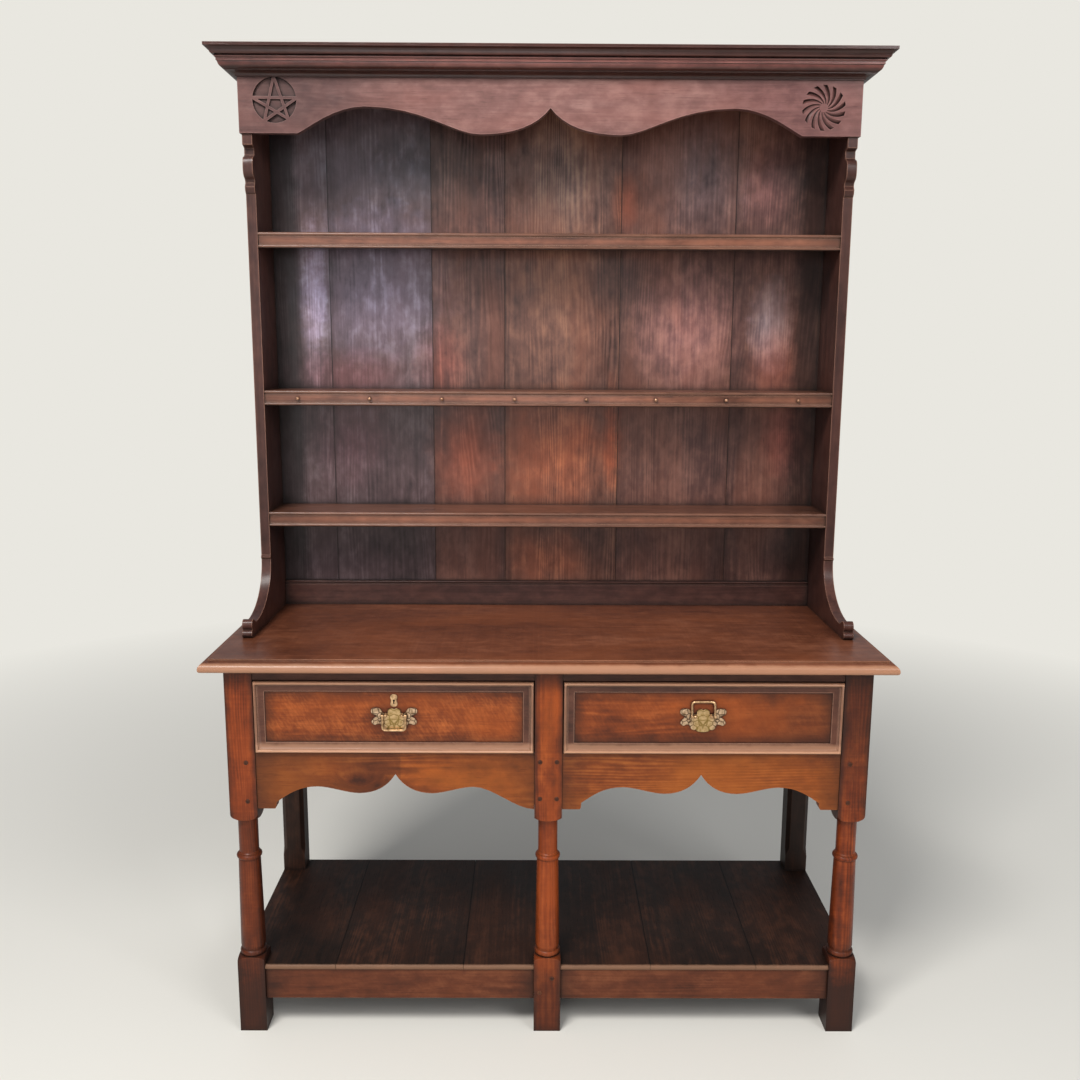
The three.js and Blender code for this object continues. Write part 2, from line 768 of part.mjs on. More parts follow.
// Sizes that the pieces of a drawer share, in the drawer's own frame: x from its middle,
// y back from the face of its front, z up from the lower edge of its sides.
const drawerHalf = drawerWidth / 2;
const sideX = [-drawerHalf, -drawerHalf + drawerSideThickness];
const bottomZ = [drawerBottomHeight, drawerBottomHeight + drawerBottomThickness];
const sideNeckY = [drawerFrontThickness + fit, drawerLength - drawerBackThickness - fit];
const backZ = [bottomZ[1] + fit, drawerSideHeight - drawerBackDrop];
const frontZ = [drawerLift, drawerLift + drawerFrontHeight];
const frontTailZ = [frontZ[0], drawerSideHeight];

function frontTails(gap) {
  return tailOutlines(sideNeckY[0], lapThickness + fit, frontTailZ, frontTailCount, gap);
}

function backTails(gap) {
  return tailOutlines(sideNeckY[1], drawerLength, backZ, backTailCount, gap);
}

const bottomGroove = box(
  widened([-drawerHalf + drawerSideThickness, drawerHalf - drawerSideThickness], drawerGrooveDepth),
  [drawerFrontThickness - drawerGrooveDepth, drawerLength + overrun],
  widened(bottomZ, fit),
);

// Left side of a drawer, with tails at both ends and a groove for the bottom.
function drawerSide() {
  const body = boxSolid(box(sideX, sideNeckY, [0, drawerSideHeight]));
  const tails = [...frontTails(0), ...backTails(0)].map((outline) => slabAlongX(outline, sideX));
  return cut(join([body, ...tails]), [boxSolid(bottomGroove)]);
}

function mirroredSolid(solid) {
  return solid.mirror([1, 0, 0]);
}

// Sockets for the tails of both sides, cut fit wider than the tails.
function tailSockets(outlines) {
  const left = outlines.map((outline) => slabAlongX(outline, [sideX[0] - overrun, sideX[1] + fit]));
  return [...left, ...left.map(mirroredSolid)];
}

function keyhole() {
  const y = [-overrun, drawerFrontThickness + lockDepth - lockWallThickness];
  const hole = bar('y', keyholeRadius, y, smallFacets);
  const slot = boxSolid(box(centred([0, 0], keyholeSlot), y, [-keyholeDrop, 0]));
  return join([hole, slot]);
}

// Drawer front with sockets for the sides, a groove for the bottom, two holes for the
// handle and, on the left drawer, the lock case behind it and its keyhole.
function drawerFront(hasLock) {
  const board = boxSolid(box([-drawerHalf, drawerHalf], [0, drawerFrontThickness], frontZ));
  const shankHoles = [-pivotSpacing / 2, pivotSpacing / 2].map((x) =>
    bar('y', shankHoleRadius, [-overrun, drawerFrontThickness + overrun], smallFacets)
      .translate([x, 0, handleHeight]));
  const front = cut(board, [...tailSockets(frontTails(fit)), boxSolid(bottomGroove), ...shankHoles]);
  if (!hasLock) return front;
  const lock = boxSolid(box(
    centred([0, 0], lockWidth),
    [drawerFrontThickness - overrun, drawerFrontThickness + lockDepth],
    centred([keyholeHeight, keyholeHeight], lockHeight),
  ));
  return cut(join([front, lock]), [keyhole().translate([0, 0, keyholeHeight])]);
}

function drawerBack() {
  const y = [drawerLength - drawerBackThickness, drawerLength];
  const board = boxSolid(box([-drawerHalf, drawerHalf], y, backZ));
  return cut(board, tailSockets(backTails(fit)));
}

function drawerBottom() {
  return boxSolid(box(
    widened(bottomGroove.x, -fit),
    [bottomGroove.y[0] + fit, drawerLength],
    bottomZ,
  ));
}

// Section of the drawer moulding: x runs in from its outer edge, y out from the front.
function mouldingSection() {
  const beadMiddle = mouldingBead / 2;
  const hollowStart = mouldingBead + mouldingFlat;
  const hollowWidth = mouldingWidth - hollowStart;
  const hollowDepth = mouldingSide - mouldingToe;
  return [
    point(0, fit),
    ...arc(beadMiddle, mouldingSide, beadMiddle, mouldingProjection - mouldingSide, 180, 0, arcSteps),
    point(hollowStart, mouldingSide),
    ...arc(mouldingWidth, mouldingSide, hollowWidth, hollowDepth, 180, 270, arcSteps),
    point(mouldingWidth, fit),
  ];
}

// Moulding mitred round the four edges of a drawer front.
function drawerMoulding() {
  const section = distinct(mouldingSection());
  const halfX = drawerHalf - mouldingInset;
  const middleZ = (frontZ[0] + frontZ[1]) / 2;
  const halfZ = drawerFrontHeight / 2 - mouldingInset;
  const corners = [point(-1, -1), point(-1, 1), point(1, 1), point(1, -1)];
  const sections = corners.map((corner) => section.map(({ x: inset, y: out }) =>
    new THREE.Vector3(corner.x * (halfX - inset), -out, middleZ + corner.y * (halfZ - inset))));
  return loft(sections, true);
}

// Half of a batwing plate, from its crown round a wing to the drop at its foot: the end of
// each bend and then the point that bends it. The first of each pair is a share of the half
// width, the second of the rise above the pivots or, below zero, of the drop under them.
const crownShare = 0.78;
const wingShares = [
  [[0.2, 0.8], [0.12, 1.02]],
  [[0.27, 0.42], [0.3, 0.66]],
  [[0.38, 0.14], [0.26, 0.2]],
  [[0.54, 0.52], [0.48, 0.16]],
  [[0.78, 1], [0.58, 0.98]],
  [[1, 0.66], [0.98, 1]],
  [[0.9, 0.06], [1.02, 0.26]],
  [[0.72, -0.1], [0.8, -0.04]],
  [[0.98, -0.4], [0.9, -0.14]],
  [[0.82, -0.6], [0.98, -0.6]],
  [[0.58, -0.56], [0.7, -0.48]],
  [[0.48, -0.82], [0.54, -0.78]],
  [[0.3, -0.8], [0.38, -0.94]],
  [[0.2, -0.96], [0.3, -0.96]],
  [[0, -1], [0.1, -1]],
];

function platePath(side) {
  const spot = ([across, height]) => [
    (side * across * plateWidth) / 2,
    height * (height > 0 ? plateRise : plateDrop),
  ];
  return wingShares.map(([to, by]) => ({ to: spot(to), by: [spot(by)] }));
}

// Batwing back plate of a handle, with holes for the shanks of the two posts.
function handlePlate() {
  const start = { to: [0, plateRise * crownShare] };
  const outline = new THREE.Shape();
  outline.moveTo(...start.to);
  follow(outline, platePath(1));
  follow(outline, reversed([start, ...platePath(-1)]));
  const plate = slabAlongY(outline, [-plateFace, -fit]);
  const holes = [-pivotSpacing / 2, pivotSpacing / 2].map((x) =>
    bar('y', shankHoleRadius, [-plateFace - overrun, overrun], smallFacets).translate([x, 0, 0]));
  return cut(plate, holes);
}

// A handle post: a round head with a hole for the bail, a collar on the plate, a shank
// through the drawer front and a nut behind it. Its axis is the y axis.
function handlePost() {
  const tip = pivotOut + postHeadRadius;
  const collarFoot = plateFace + fit;
  const nutFace = -drawerFrontThickness - fit;
  const headNeck = pivotOut - Math.sqrt(postHeadRadius ** 2 - postNeckRadius ** 2);
  const headStart = THREE.MathUtils.radToDeg(Math.asin(-(pivotOut - headNeck) / postHeadRadius));
  const head = arc(0, pivotOut, postHeadRadius, postHeadRadius, headStart, 90, arcSteps);
  head[head.length - 1] = point(0, tip);
  const profile = [
    point(0, nutFace - nutThickness),
    point(nutRadius, nutFace - nutThickness),
    point(nutRadius, nutFace),
    point(postNeckRadius, nutFace),
    point(postNeckRadius, collarFoot),
    point(postCollarRadius, collarFoot),
    point(postCollarRadius, collarFoot + postCollarThickness),
    point(postNeckRadius, collarFoot + postCollarThickness),
    ...head,
  ];
  const post = turned(profile, smallFacets).rotate([90, 0, 0]);
  const reach = postHeadRadius + overrun;
  const hole = bar('x', pivotHoleRadius, [-reach, reach], smallFacets).translate([0, -pivotOut, 0]);
  return cut(post, [hole]);
}

// Bail of a handle, hanging: its pivot axis is the x axis and its grip is below.
function bail() {
  const arm = bailReach - bailCorner;
  const grip = bailHalfSpan - bailCorner;
  const path = new THREE.CurvePath();
  const corners = [
    [-bailHalfSpan, 0],
    [-bailHalfSpan, -arm],
    [-grip, -bailReach],
    [grip, -bailReach],
    [bailHalfSpan, -arm],
    [bailHalfSpan, 0],
  ].map(([x, z]) => new THREE.Vector3(x, 0, z));
  const bends = [-bailHalfSpan, bailHalfSpan].map((x) => new THREE.Vector3(x, 0, -bailReach));
  path.add(new THREE.LineCurve3(corners[0], corners[1]));
  path.add(new THREE.QuadraticBezierCurve3(corners[1], bends[0], corners[2]));
  path.add(new THREE.LineCurve3(corners[2], corners[3]));
  path.add(new THREE.QuadraticBezierCurve3(corners[3], bends[1], corners[4]));
  path.add(new THREE.LineCurve3(corners[4], corners[5]));
  const section = new THREE.Shape(arc(0, 0, bailRadius, bailRadius, 0, 360, rodFacets).slice(1));
  const rod = toSolid(new THREE.ExtrudeGeometry(section, { steps: bailSteps, extrudePath: path }));
  const pivotEnd = pivotSpacing / 2 - postHeadRadius;
  const sides = [-1, 1].flatMap((side) => {
    const armX = bailHalfSpan * side;
    const pivot = side < 0 ? [armX, -pivotEnd] : [pivotEnd, armX];
    return [
      bar('x', bailEyeRadius, centred([armX, armX], bailEyeLength), smallFacets),
      bar('x', pivotRadius, pivot, smallFacets),
    ];
  });
  return join([rod, ...sides]);
}

// Small waisted plate round the keyhole.
function escutcheon() {
  const half = escutcheonWidth / 2;
  const waist = half * escutcheonWaistShare;
  const rise = escutcheonHeight / 2;
  const shoulder = rise - half;
  const outline = new THREE.Shape();
  outline.moveTo(0, rise);
  outline.quadraticCurveTo(half, rise, half, shoulder);
  outline.quadraticCurveTo(waist, 0, half, -shoulder);
  outline.quadraticCurveTo(half, -rise, 0, -rise);
  outline.quadraticCurveTo(-half, -rise, -half, -shoulder);
  outline.quadraticCurveTo(-waist, 0, -half, shoulder);
  outline.quadraticCurveTo(-half, rise, 0, rise);
  return cut(slabAlongY(outline, [-fit - escutcheonThickness, -fit]), [keyhole()]);
}

// A handle group on the face of a drawer front. raised turns the bail up against the front.
function handle(name, raised) {
  const group = new THREE.Group();
  group.position.set(0, 0, handleHeight);
  place(group, `${name}_handle_plate`, handlePlate(), 'brass');
  for (const [side, sign] of [['left', -1], ['right', 1]]) {
    const post = place(group, `${name}_handle_post_${side}`, handlePost(), 'brass');
    post.position.x = (sign * pivotSpacing) / 2;
  }
  const ring = place(group, `${name}_handle_bail`, bail(), 'brass');
  ring.position.y = -pivotOut;
  ring.rotation.x = raised ? -(Math.PI + bailLean) : 0;
  return group;
}

function drawer(name, centreX, hasLock, raised) {
  const group = new THREE.Group();
  group.position.set(centreX, pieceFrontY, runnerTop + fit);
  place(group, `${name}_drawer_front`, drawerFront(hasLock), 'frontOak');
  place(group, `${name}_drawer_moulding`, drawerMoulding(), 'frontOak');
  place(group, `${name}_drawer_side_left`, drawerSide(), 'innerOak');
  place(group, `${name}_drawer_side_right`, mirroredSolid(drawerSide()), 'innerOak');
  place(group, `${name}_drawer_back`, drawerBack(), 'innerOak');
  place(group, `${name}_drawer_bottom`, drawerBottom(), 'innerOak');
  group.add(handle(name, raised));
  if (hasLock) {
    const plate = place(group, `${name}_escutcheon`, escutcheon(), 'brass');
    plate.position.z = keyholeHeight;
  }
  return group;
}

// The rack is drawn in its own frame: y = 0 is its back face, z = 0 its feet.

// The carved bracket on the front edge of a rack side, from its foot up to the frieze.
// The first of each pair is a share of its reach, the second of its height.
const bracketShares = [
  { to: [0, 0] },
  { to: [0.4, 0.12], by: [[0.3, 0.02]] },
  { to: [0.1, 0.19] },
  { to: [1, 0.4], by: [[0.15, 0.3], [0.95, 0.24]] },
  { to: [0.45, 0.62], by: [[1.05, 0.54], [0.9, 0.62]] },
  { to: [0, 0.66] },
  { to: [0, 0.78] },
  { to: [0.75, 0.82] },
  { to: [0.75, 1] },
];

function bracketPath() {
  const spot = ([reach, height]) => [
    -rackDepth - reach * bracketReach,
    friezeFoot - fit - (1 - height) * bracketHeight,
  ];
  return bracketShares.map(({ to, by = [] }) => ({ to: spot(to), by: by.map(spot) }));
}

// Outline of a rack side in y and z: the scrolled foot, the sweep up to the straight
// front edge and the bracket under the frieze.
function rackSideOutline() {
  const toeY = -(footReach - footToeRadius);
  const lobeY = -(footReach - footLobeSetback - footLobeRadius);
  const lobeZ = footLobeHeight - footLobeRadius;
  const sweepY = -rackDepth - sweepReach;
  const sweepRise = sweepHeight - footHollow;
  const outline = new THREE.Shape();
  outline.moveTo(0, 0);
  outline.lineTo(toeY, 0);
  outline.absarc(toeY, footToeRadius, footToeRadius, -Math.PI / 2, -Math.PI * 1.5, true);
  outline.absarc(lobeY, lobeZ, footLobeRadius, Math.PI * 1.25, Math.PI / 3, true);
  outline.lineTo(sweepY, footHollow);
  outline.absellipse(sweepY, sweepHeight, sweepReach, sweepRise, -Math.PI / 2, 0, false, 0);
  outline.lineTo(-rackDepth - nibReach, sweepHeight + nibHeight / 2);
  outline.lineTo(-rackDepth, sweepHeight + nibHeight);
  follow(outline, bracketPath());
  outline.lineTo(-rackDepth, friezeFoot - fit);
  outline.lineTo(-rackDepth, rackSideHeight);
  outline.lineTo(0, rackSideHeight);
  return outline;
}

const shelfFrontY = -rackDepth + shelfSetback;
const shelfBackY = -backBoardThickness - fit;
const lipBackY = shelfFrontY + shelfLipThickness;

// Left side of the rack, rebated for the back boards and housed for the shelves.
function rackSide() {
  const side = slabAlongX(rackSideOutline(), [-rackWidth / 2, -rackInnerX]);
  const rebate = box(
    [-rackInnerX - rebateWidth, -rackInnerX + overrun],
    [shelfBackY, overrun],
    [-overrun, rackSideHeight + overrun],
  );
  const housings = Object.values(shelfHeights).map((height) => box(
    [-rackInnerX - housingDepth, -rackInnerX + overrun],
    [lipBackY - fit, shelfBackY + overrun],
    widened([height - shelfThickness, height], fit),
  ));
  return cut(side, [rebate, ...housings].map(boxSolid));
}

// A shelf: a board housed in the sides, with a lip that has a bead at each edge.
function shelf(height) {
  const flatY = shelfFrontY + shelfHollow;
  const foot = height - shelfLipHeight;
  const half = shelfBeadHeight / 2;
  const outline = new THREE.Shape([
    point(lipBackY, height),
    ...arc(flatY, height - half, shelfHollow, half, 90, 270, arcSteps),
    ...arc(flatY, foot + half, shelfHollow, half, 90, 270, arcSteps),
    point(lipBackY, foot),
  ]);
  const z = [height - shelfThickness, height];
  const between = widened([-rackInnerX, rackInnerX], -fit);
  const housed = widened([-rackInnerX, rackInnerX], housingDepth - fit);
  return join([
    slabAlongX(outline, between),
    boxSolid(box(between, [flatY, shelfBackY - fit], z)),
    boxSolid(box(housed, [lipBackY, shelfBackY - fit], z)),
  ]);
}

// A back board of the rack, grooved on its left edge and tongued on its right one.
function backBoard(from, to, hasGroove, hasTongue) {
  const middle = -backBoardThickness / 2;
  const tongue = tongueThickness / 2;
  const groove = tongue + fit;
  const left = hasGroove ? from + fit : from;
  const outline = [point(left, -backBoardThickness), point(to, -backBoardThickness)];
  if (hasTongue) {
    outline.push(point(to, middle - tongue), point(to + tongueLength, middle - tongue));
    outline.push(point(to + tongueLength, middle + tongue), point(to, middle + tongue));
  }
  outline.push(point(to, 0), point(left, 0));
  if (hasGroove) {
    const floor = left + tongueLength;
    outline.push(point(left, middle + groove), point(floor, middle + groove));
    outline.push(point(floor, middle - groove), point(left, middle - groove));
  }
  return slabAlongZ(new THREE.Shape(outline), [0, rackSideHeight]);
}

// Rail across the foot of the back boards, with a bead along its upper edge.
function rackBottomRail() {
  const back = shelfBackY - fit;
  const front = back - bottomRailThickness;
  const radius = bottomRailBead / 2;
  const beadFoot = bottomRailHeight - bottomRailBead;
  const outline = new THREE.Shape([
    point(back, 0),
    point(back, bottomRailHeight),
    ...arc(front + radius, bottomRailHeight - radius, radius, radius, 90, 270, arcSteps),
    point(front + radius, beadFoot - radius),
    point(front, beadFoot - bottomRailBead),
    point(front, 0),
  ]);
  return slabAlongX(outline, widened([-rackInnerX, rackInnerX], -fit));
}

// One half of the shaped lower edge of the frieze, from the middle cusp over the lobe and
// the arch to the flat end. The first of each pair is a share of the shaped half.
function friezeHalf(side) {
  const shaped = friezeHalfWidth - friezeEndWidth;
  const archTop = friezeFoot + friezeArchRise;
  const archEase = friezeFoot + friezeArchRise / 5;
  const cuspBendShare = 0.08;
  const lobeBendShare = 0.385;
  const archBendShare = 0.5;
  const fallBendShare = 0.852;
  const endBendShare = 0.956;
  const at = (share) => side * shaped * share;
  return [
    { to: [0, friezeFoot + friezeCuspRise] },
    { to: [at(friezeLobeShare), friezeFoot], by: [[at(cuspBendShare), friezeFoot]] },
    {
      to: [at(friezePeakShare), archTop],
      by: [[at(lobeBendShare), friezeFoot], [at(archBendShare), archTop]],
    },
    { to: [at(1), friezeFoot], by: [[at(fallBendShare), archTop], [at(endBendShare), archEase]] },
  ];
}

const friezeY = [-rackDepth - fit - friezeThickness, -rackDepth - fit];

function frieze() {
  const outline = new THREE.Shape();
  outline.moveTo(0, friezeFoot + friezeCuspRise);
  follow(outline, friezeHalf(1).slice(1));
  outline.lineTo(friezeHalfWidth, friezeFoot);
  outline.lineTo(friezeHalfWidth, friezeTop);
  outline.lineTo(-friezeHalfWidth, friezeTop);
  outline.lineTo(-friezeHalfWidth, friezeFoot);
  outline.lineTo(...friezeHalf(-1).at(-1).to);
  follow(outline, reversed(friezeHalf(-1)));
  return slabAlongY(outline, friezeY);
}

// Section of the cornice: x is its projection from the frieze, y its height.
function corniceSection() {
  const foot = corniceFoot;
  const hollowFoot = foot + corniceFootFillet;
  const hollowTop = hollowFoot + corniceHollowHeight;
  const hollowOut = corniceFootProjection + corniceHollowWidth;
  const ovoloIn = hollowOut + corniceStep;
  const fasciaFoot = hollowTop + corniceStep + corniceOvoloHeight;
  const fasciaOut = ovoloIn + corniceOvoloWidth + corniceStep;
  const beadFoot = fasciaFoot + corniceFascia;
  const beadRadius = corniceBead / 2;
  const soffit = beadFoot + corniceBead;
  const roundIn = fasciaOut + corniceSoffit;
  const coveFoot = soffit + corniceRoundHeight;
  const coveIn = roundIn + corniceRoundWidth;
  const coveOut = corniceProjection - corniceStep;
  const lidFoot = rackHeight - corniceTopFillet;
  return distinct([
    point(fit, foot),
    point(corniceFootProjection, foot),
    point(corniceFootProjection, hollowFoot),
    ...arc(hollowOut, hollowFoot, corniceHollowWidth, corniceHollowHeight, 180, 90, arcSteps),
    point(ovoloIn, hollowTop),
    ...arc(ovoloIn, fasciaFoot, corniceOvoloWidth, corniceOvoloHeight, -90, 0, arcSteps),
    point(fasciaOut, fasciaFoot),
    point(fasciaOut, beadFoot),
    ...arc(fasciaOut, beadFoot + beadRadius, beadRadius, beadRadius, -90, 90, arcSteps),
    point(roundIn, soffit),
    ...arc(roundIn, coveFoot, corniceRoundWidth, corniceRoundHeight, -90, 0, arcSteps),
    ...arc(coveOut, coveFoot, coveOut - coveIn, lidFoot - coveFoot, 180, 90, arcSteps),
    point(corniceProjection, lidFoot),
    point(corniceProjection, rackHeight),
    point(fit, rackHeight),
  ]);
}

// Cornice mitred along the front and both sides of the rack, rebated over the ends of the
// frieze where these stand out beyond the sides.
function cornice() {
  const section = corniceSection();
  const across = (out) => (out > fit ? friezeHalfWidth + out : rackWidth / 2 + out);
  const corners = [
    (out) => point(across(out), 0),
    (out) => point(across(out), friezeY[0] - out),
    (out) => point(-across(out), friezeY[0] - out),
    (out) => point(-across(out), 0),
  ];
  const sections = corners.map((corner) => section.map(({ x: out, y: height }) => {
    const spot = corner(out);
    return new THREE.Vector3(spot.x, spot.y, height);
  }));
  const friezeEnds = boxSolid(box(
    [-friezeHalfWidth - fit, friezeHalfWidth + fit],
    widened(friezeY, fit),
    [corniceFoot - overrun, friezeTop + fit],
  ));
  return cut(loft(sections, false, section), [friezeEnds]);
}

function rackRoof() {
  return boxSolid(box(
    [-rackWidth / 2, rackWidth / 2],
    [-rackDepth, 0],
    [rackSideHeight + fit, friezeTop],
  ));
}

// Everything below the dresser top, and the top itself.
function base() {
  const group = new THREE.Group();
  place(group, 'dresser_top', dresserTop(), 'topOak');
  for (const [name, x] of [['left', -postCentreX], ['middle', 0], ['right', postCentreX]]) {
    const post = place(group, `front_post_${name}`, frontPost(x, mortises), 'postOak');
    post.position.set(x, frontY + postSize / 2, 0);
  }
  place(group, 'rear_post_left', rearPost(-1, mortises), 'potOak');
  place(group, 'rear_post_right', rearPost(1, mortises), 'potOak');
  place(group, 'top_rail_left', topRailLeft(), 'frontOak');
  place(group, 'top_rail_right', mirroredSolid(railSolid(topRailBox, 'x', tenons.topRail)), 'frontOak');
  place(group, 'apron_left', apron(false), 'postOak');
  place(group, 'apron_right', mirroredSolid(apron(true)), 'postOak');
  place(group, 'side_panel_left', sidePanel(), 'frontOak');
  place(group, 'side_panel_right', mirroredSolid(sidePanel()), 'frontOak');
  place(group, 'back_panel', backPanel(), 'potOak');
  place(group, 'drawer_runner_middle', middleRunner(), 'innerOak');
  potboard(group);
  return group;
}

function potboard(group) {
  const frontRail = railSolid(potRailFrontBox, 'x', tenons.potRailFront);
  const sideRail = railSolid(potRailSideBox, 'y', tenons.potRailSide);
  place(group, 'pot_rail_front_left', frontRail, 'potOak');
  place(group, 'pot_rail_front_right', mirroredSolid(frontRail), 'potOak');
  place(group, 'pot_rail_left', sideRail, 'potOak');
  place(group, 'pot_rail_right', mirroredSolid(sideRail), 'potOak');
  place(group, 'pot_rail_back', railSolid(potRailBackBox, 'x', tenons.potRailBack), 'potOak');
  const edges = [-outerX, ...potboardSeams, outerX];
  for (let i = 1; i < edges.length; i += 1) {
    const from = i === 1 ? edges[0] : edges[i - 1] + potboardJoint / 2;
    const to = i === edges.length - 1 ? edges[i] : edges[i] - potboardJoint / 2;
    place(group, `pot_board_${i}`, potBoard(from, to), 'potOak');
  }
}

// The rack that stands on the dresser top.
function rack() {
  const group = new THREE.Group();
  group.position.set(0, rackBackY, topHeight + fit);
  place(group, 'rack_side_left', rackSide(), 'rackOak');
  place(group, 'rack_side_right', mirroredSolid(rackSide()), 'rackOak');
  for (const [name, height] of Object.entries(shelfHeights)) {
    place(group, `shelf_${name}`, shelf(height), 'rackOak');
  }
  const reach = rackInnerX + rebateWidth - fit;
  const edges = [-reach, ...backBoardSeams, reach];
  for (let i = 1; i < edges.length; i += 1) {
    const board = backBoard(edges[i - 1], edges[i], i > 1, i < edges.length - 1);
    place(group, `back_board_${i}`, board, 'rackOak');
  }
  place(group, 'rack_bottom_rail', rackBottomRail(), 'rackOak');
  place(group, 'frieze', frieze(), 'friezeOak');
  place(group, 'cornice', cornice(), 'friezeOak');
  place(group, 'rack_roof', rackRoof(), 'rackOak');
  return group;
}

const dresser = new THREE.Group();
dresser.add(base());
dresser.add(drawer('left', -bayCentreX, true, false));
dresser.add(drawer('right', bayCentreX, false, true));
dresser.add(rack());

export default dresser;
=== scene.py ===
# The welsh dresser as it looks: aged oak, a carved frieze, pegs, studs, worn brass and the iron
# case of the lock, on a pale floor in soft light. Metres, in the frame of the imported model.

import math
from collections import namedtuple

import bmesh
import bpy
from mathutils import Matrix, Vector


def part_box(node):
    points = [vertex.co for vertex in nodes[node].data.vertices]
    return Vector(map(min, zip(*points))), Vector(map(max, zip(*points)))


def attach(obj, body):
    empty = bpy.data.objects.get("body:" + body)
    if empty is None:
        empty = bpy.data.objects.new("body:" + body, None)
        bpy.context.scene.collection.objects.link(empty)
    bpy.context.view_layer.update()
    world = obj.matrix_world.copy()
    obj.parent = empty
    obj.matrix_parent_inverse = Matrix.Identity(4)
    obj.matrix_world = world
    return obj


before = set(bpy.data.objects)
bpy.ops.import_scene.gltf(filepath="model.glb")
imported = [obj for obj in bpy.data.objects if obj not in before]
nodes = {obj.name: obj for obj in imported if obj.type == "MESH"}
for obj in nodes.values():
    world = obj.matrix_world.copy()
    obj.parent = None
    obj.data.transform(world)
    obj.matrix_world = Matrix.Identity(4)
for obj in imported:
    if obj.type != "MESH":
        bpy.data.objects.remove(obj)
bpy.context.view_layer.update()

# Camera, fitted to the corners of the dresser in the photograph
CAMERA_PLACE = (-0.0298, -2.2474, 1.4219)
CAMERA_PITCH = math.radians(10.178)
CAMERA_YAW = math.radians(0.297)
CAMERA_ROLL = math.radians(0.278)
CAMERA_LENS = 35.247  # mm
CAMERA_FRAME = 36  # mm, the width of frame that the lens is given for
CAMERA_NEAR = 0.05

SIDES = ("left", "right")
LOW, HIGH = 0, 1  # the corners of a box
FRONT_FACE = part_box("front_post_left")[LOW].y


def tone(red, green, blue):
    """A colour as seen on a screen, made linear."""
    linear = []
    for value in (red, green, blue):
        share = value / 255
        linear.append(share / 12.92 if share <= 0.04045 else ((share + 0.055) / 1.055) ** 2.4)
    return (*linear, 1.0)


def middle_of(box):
    return (box[LOW] + box[HIGH]) / 2


# Sockets of a mix node that carry a colour
MIX_FACTOR, MIX_FIRST, MIX_SECOND, MIX_RESULT = 0, 6, 7, 2
NOISE_MIDDLE = (0.3, 0.7)  # nearly all values of a noise lie between these
SOFT_SAMPLES = 4  # rays of each rounded edge and each dark corner


class Tree:
    """Adds and joins the nodes of a shader."""

    def __init__(self, tree):
        self.tree = tree

    def feed(self, socket, value):
        if isinstance(value, bpy.types.NodeSocket):
            self.tree.links.new(value, socket)
        else:
            socket.default_value = value

    def feed_all(self, node, inputs):
        for key, value in inputs.items():
            self.feed(node.inputs[key], value)

    def add(self, kind, inputs=None, **settings):
        node = self.tree.nodes.new(kind)
        for key, value in settings.items():
            setattr(node, key, value)
        self.feed_all(node, inputs or {})
        return node

    def math(self, operation, *values, clamp=False):
        node = self.add("ShaderNodeMath", operation=operation, use_clamp=clamp)
        for socket, value in zip(node.inputs, values):
            self.feed(socket, value)
        return node.outputs[0]

    def vector(self, operation, *values):
        node = self.add("ShaderNodeVectorMath", operation=operation)
        for socket, value in zip(node.inputs, values):
            self.feed(socket, value)
        return node.outputs["Value" if operation in ("LENGTH", "DOT_PRODUCT") else "Vector"]

    def scaled(self, vector, factor):
        node = self.add("ShaderNodeVectorMath", operation="SCALE")
        self.feed(node.inputs[0], vector)
        self.feed(node.inputs["Scale"], factor)
        return node.outputs["Vector"]

    def joined(self, x=0.0, y=0.0, z=0.0):
        return self.add("ShaderNodeCombineXYZ", {"X": x, "Y": y, "Z": z}).outputs[0]

    def split(self, vector):
        return self.add("ShaderNodeSeparateXYZ", {"Vector": vector}).outputs

    def mix(self, factor, first, second, blend="MIX"):
        node = self.add("ShaderNodeMix", data_type="RGBA", blend_type=blend)
        self.feed(node.inputs[MIX_FACTOR], factor)
        self.feed(node.inputs[MIX_FIRST], first)
        self.feed(node.inputs[MIX_SECOND], second)
        return node.outputs[MIX_RESULT]

    def span(self, value, low, high, to_low=0.0, to_high=1.0):
        return self.add(
            "ShaderNodeMapRange",
            {
                "Value": value,
                "From Min": low,
                "From Max": high,
                "To Min": to_low,
                "To Max": to_high,
            },
            clamp=True,
        ).outputs[0]

    def noise(self, vector, scale, detail=3.0, roughness=0.5, distortion=0.0):
        return self.add(
            "ShaderNodeTexNoise",
            {
                "Vector": vector,
                "Scale": scale,
                "Detail": detail,
                "Roughness": roughness,
                "Distortion": distortion,
            },
        ).outputs["Fac"]

    def drawn_noise(self, vector, scales, detail=3.0, roughness=0.5, distortion=0.0):
        """A noise with its own scale along each axis."""
        return self.noise(self.vector("MULTIPLY", vector, scales), 1.0, detail, roughness, distortion)

    def swing(self, noise, low, high):
        """A noise spread so that nearly all its values lie from low to high."""
        return self.span(noise, *NOISE_MIDDLE, low, high)

    def place(self):
        """Where a point of the piece lies at rest, in the frame of the model."""
        return self.add("ShaderNodeTexCoord").outputs["Object"]

    def rounded(self, radius):
        """The face direction, rounded over the edges."""
        return self.add("ShaderNodeBevel", {"Radius": radius}, samples=SOFT_SAMPLES).outputs[0]

    def openness(self, reach):
        """How little of what lies within reach of a point shuts it in."""
        kind = "ShaderNodeAmbientOcclusion"
        return self.add(kind, {"Distance": reach}, samples=SOFT_SAMPLES).outputs["AO"]

    def relief(self, shader, height, strength, depth, rounding):
        """Fine relief on faces with rounded edges."""
        inputs = {
            "Height": height,
            "Strength": strength,
            "Distance": depth,
            "Normal": self.rounded(rounding),
        }
        self.feed(shader.inputs["Normal"], self.add("ShaderNodeBump", inputs).outputs[0])


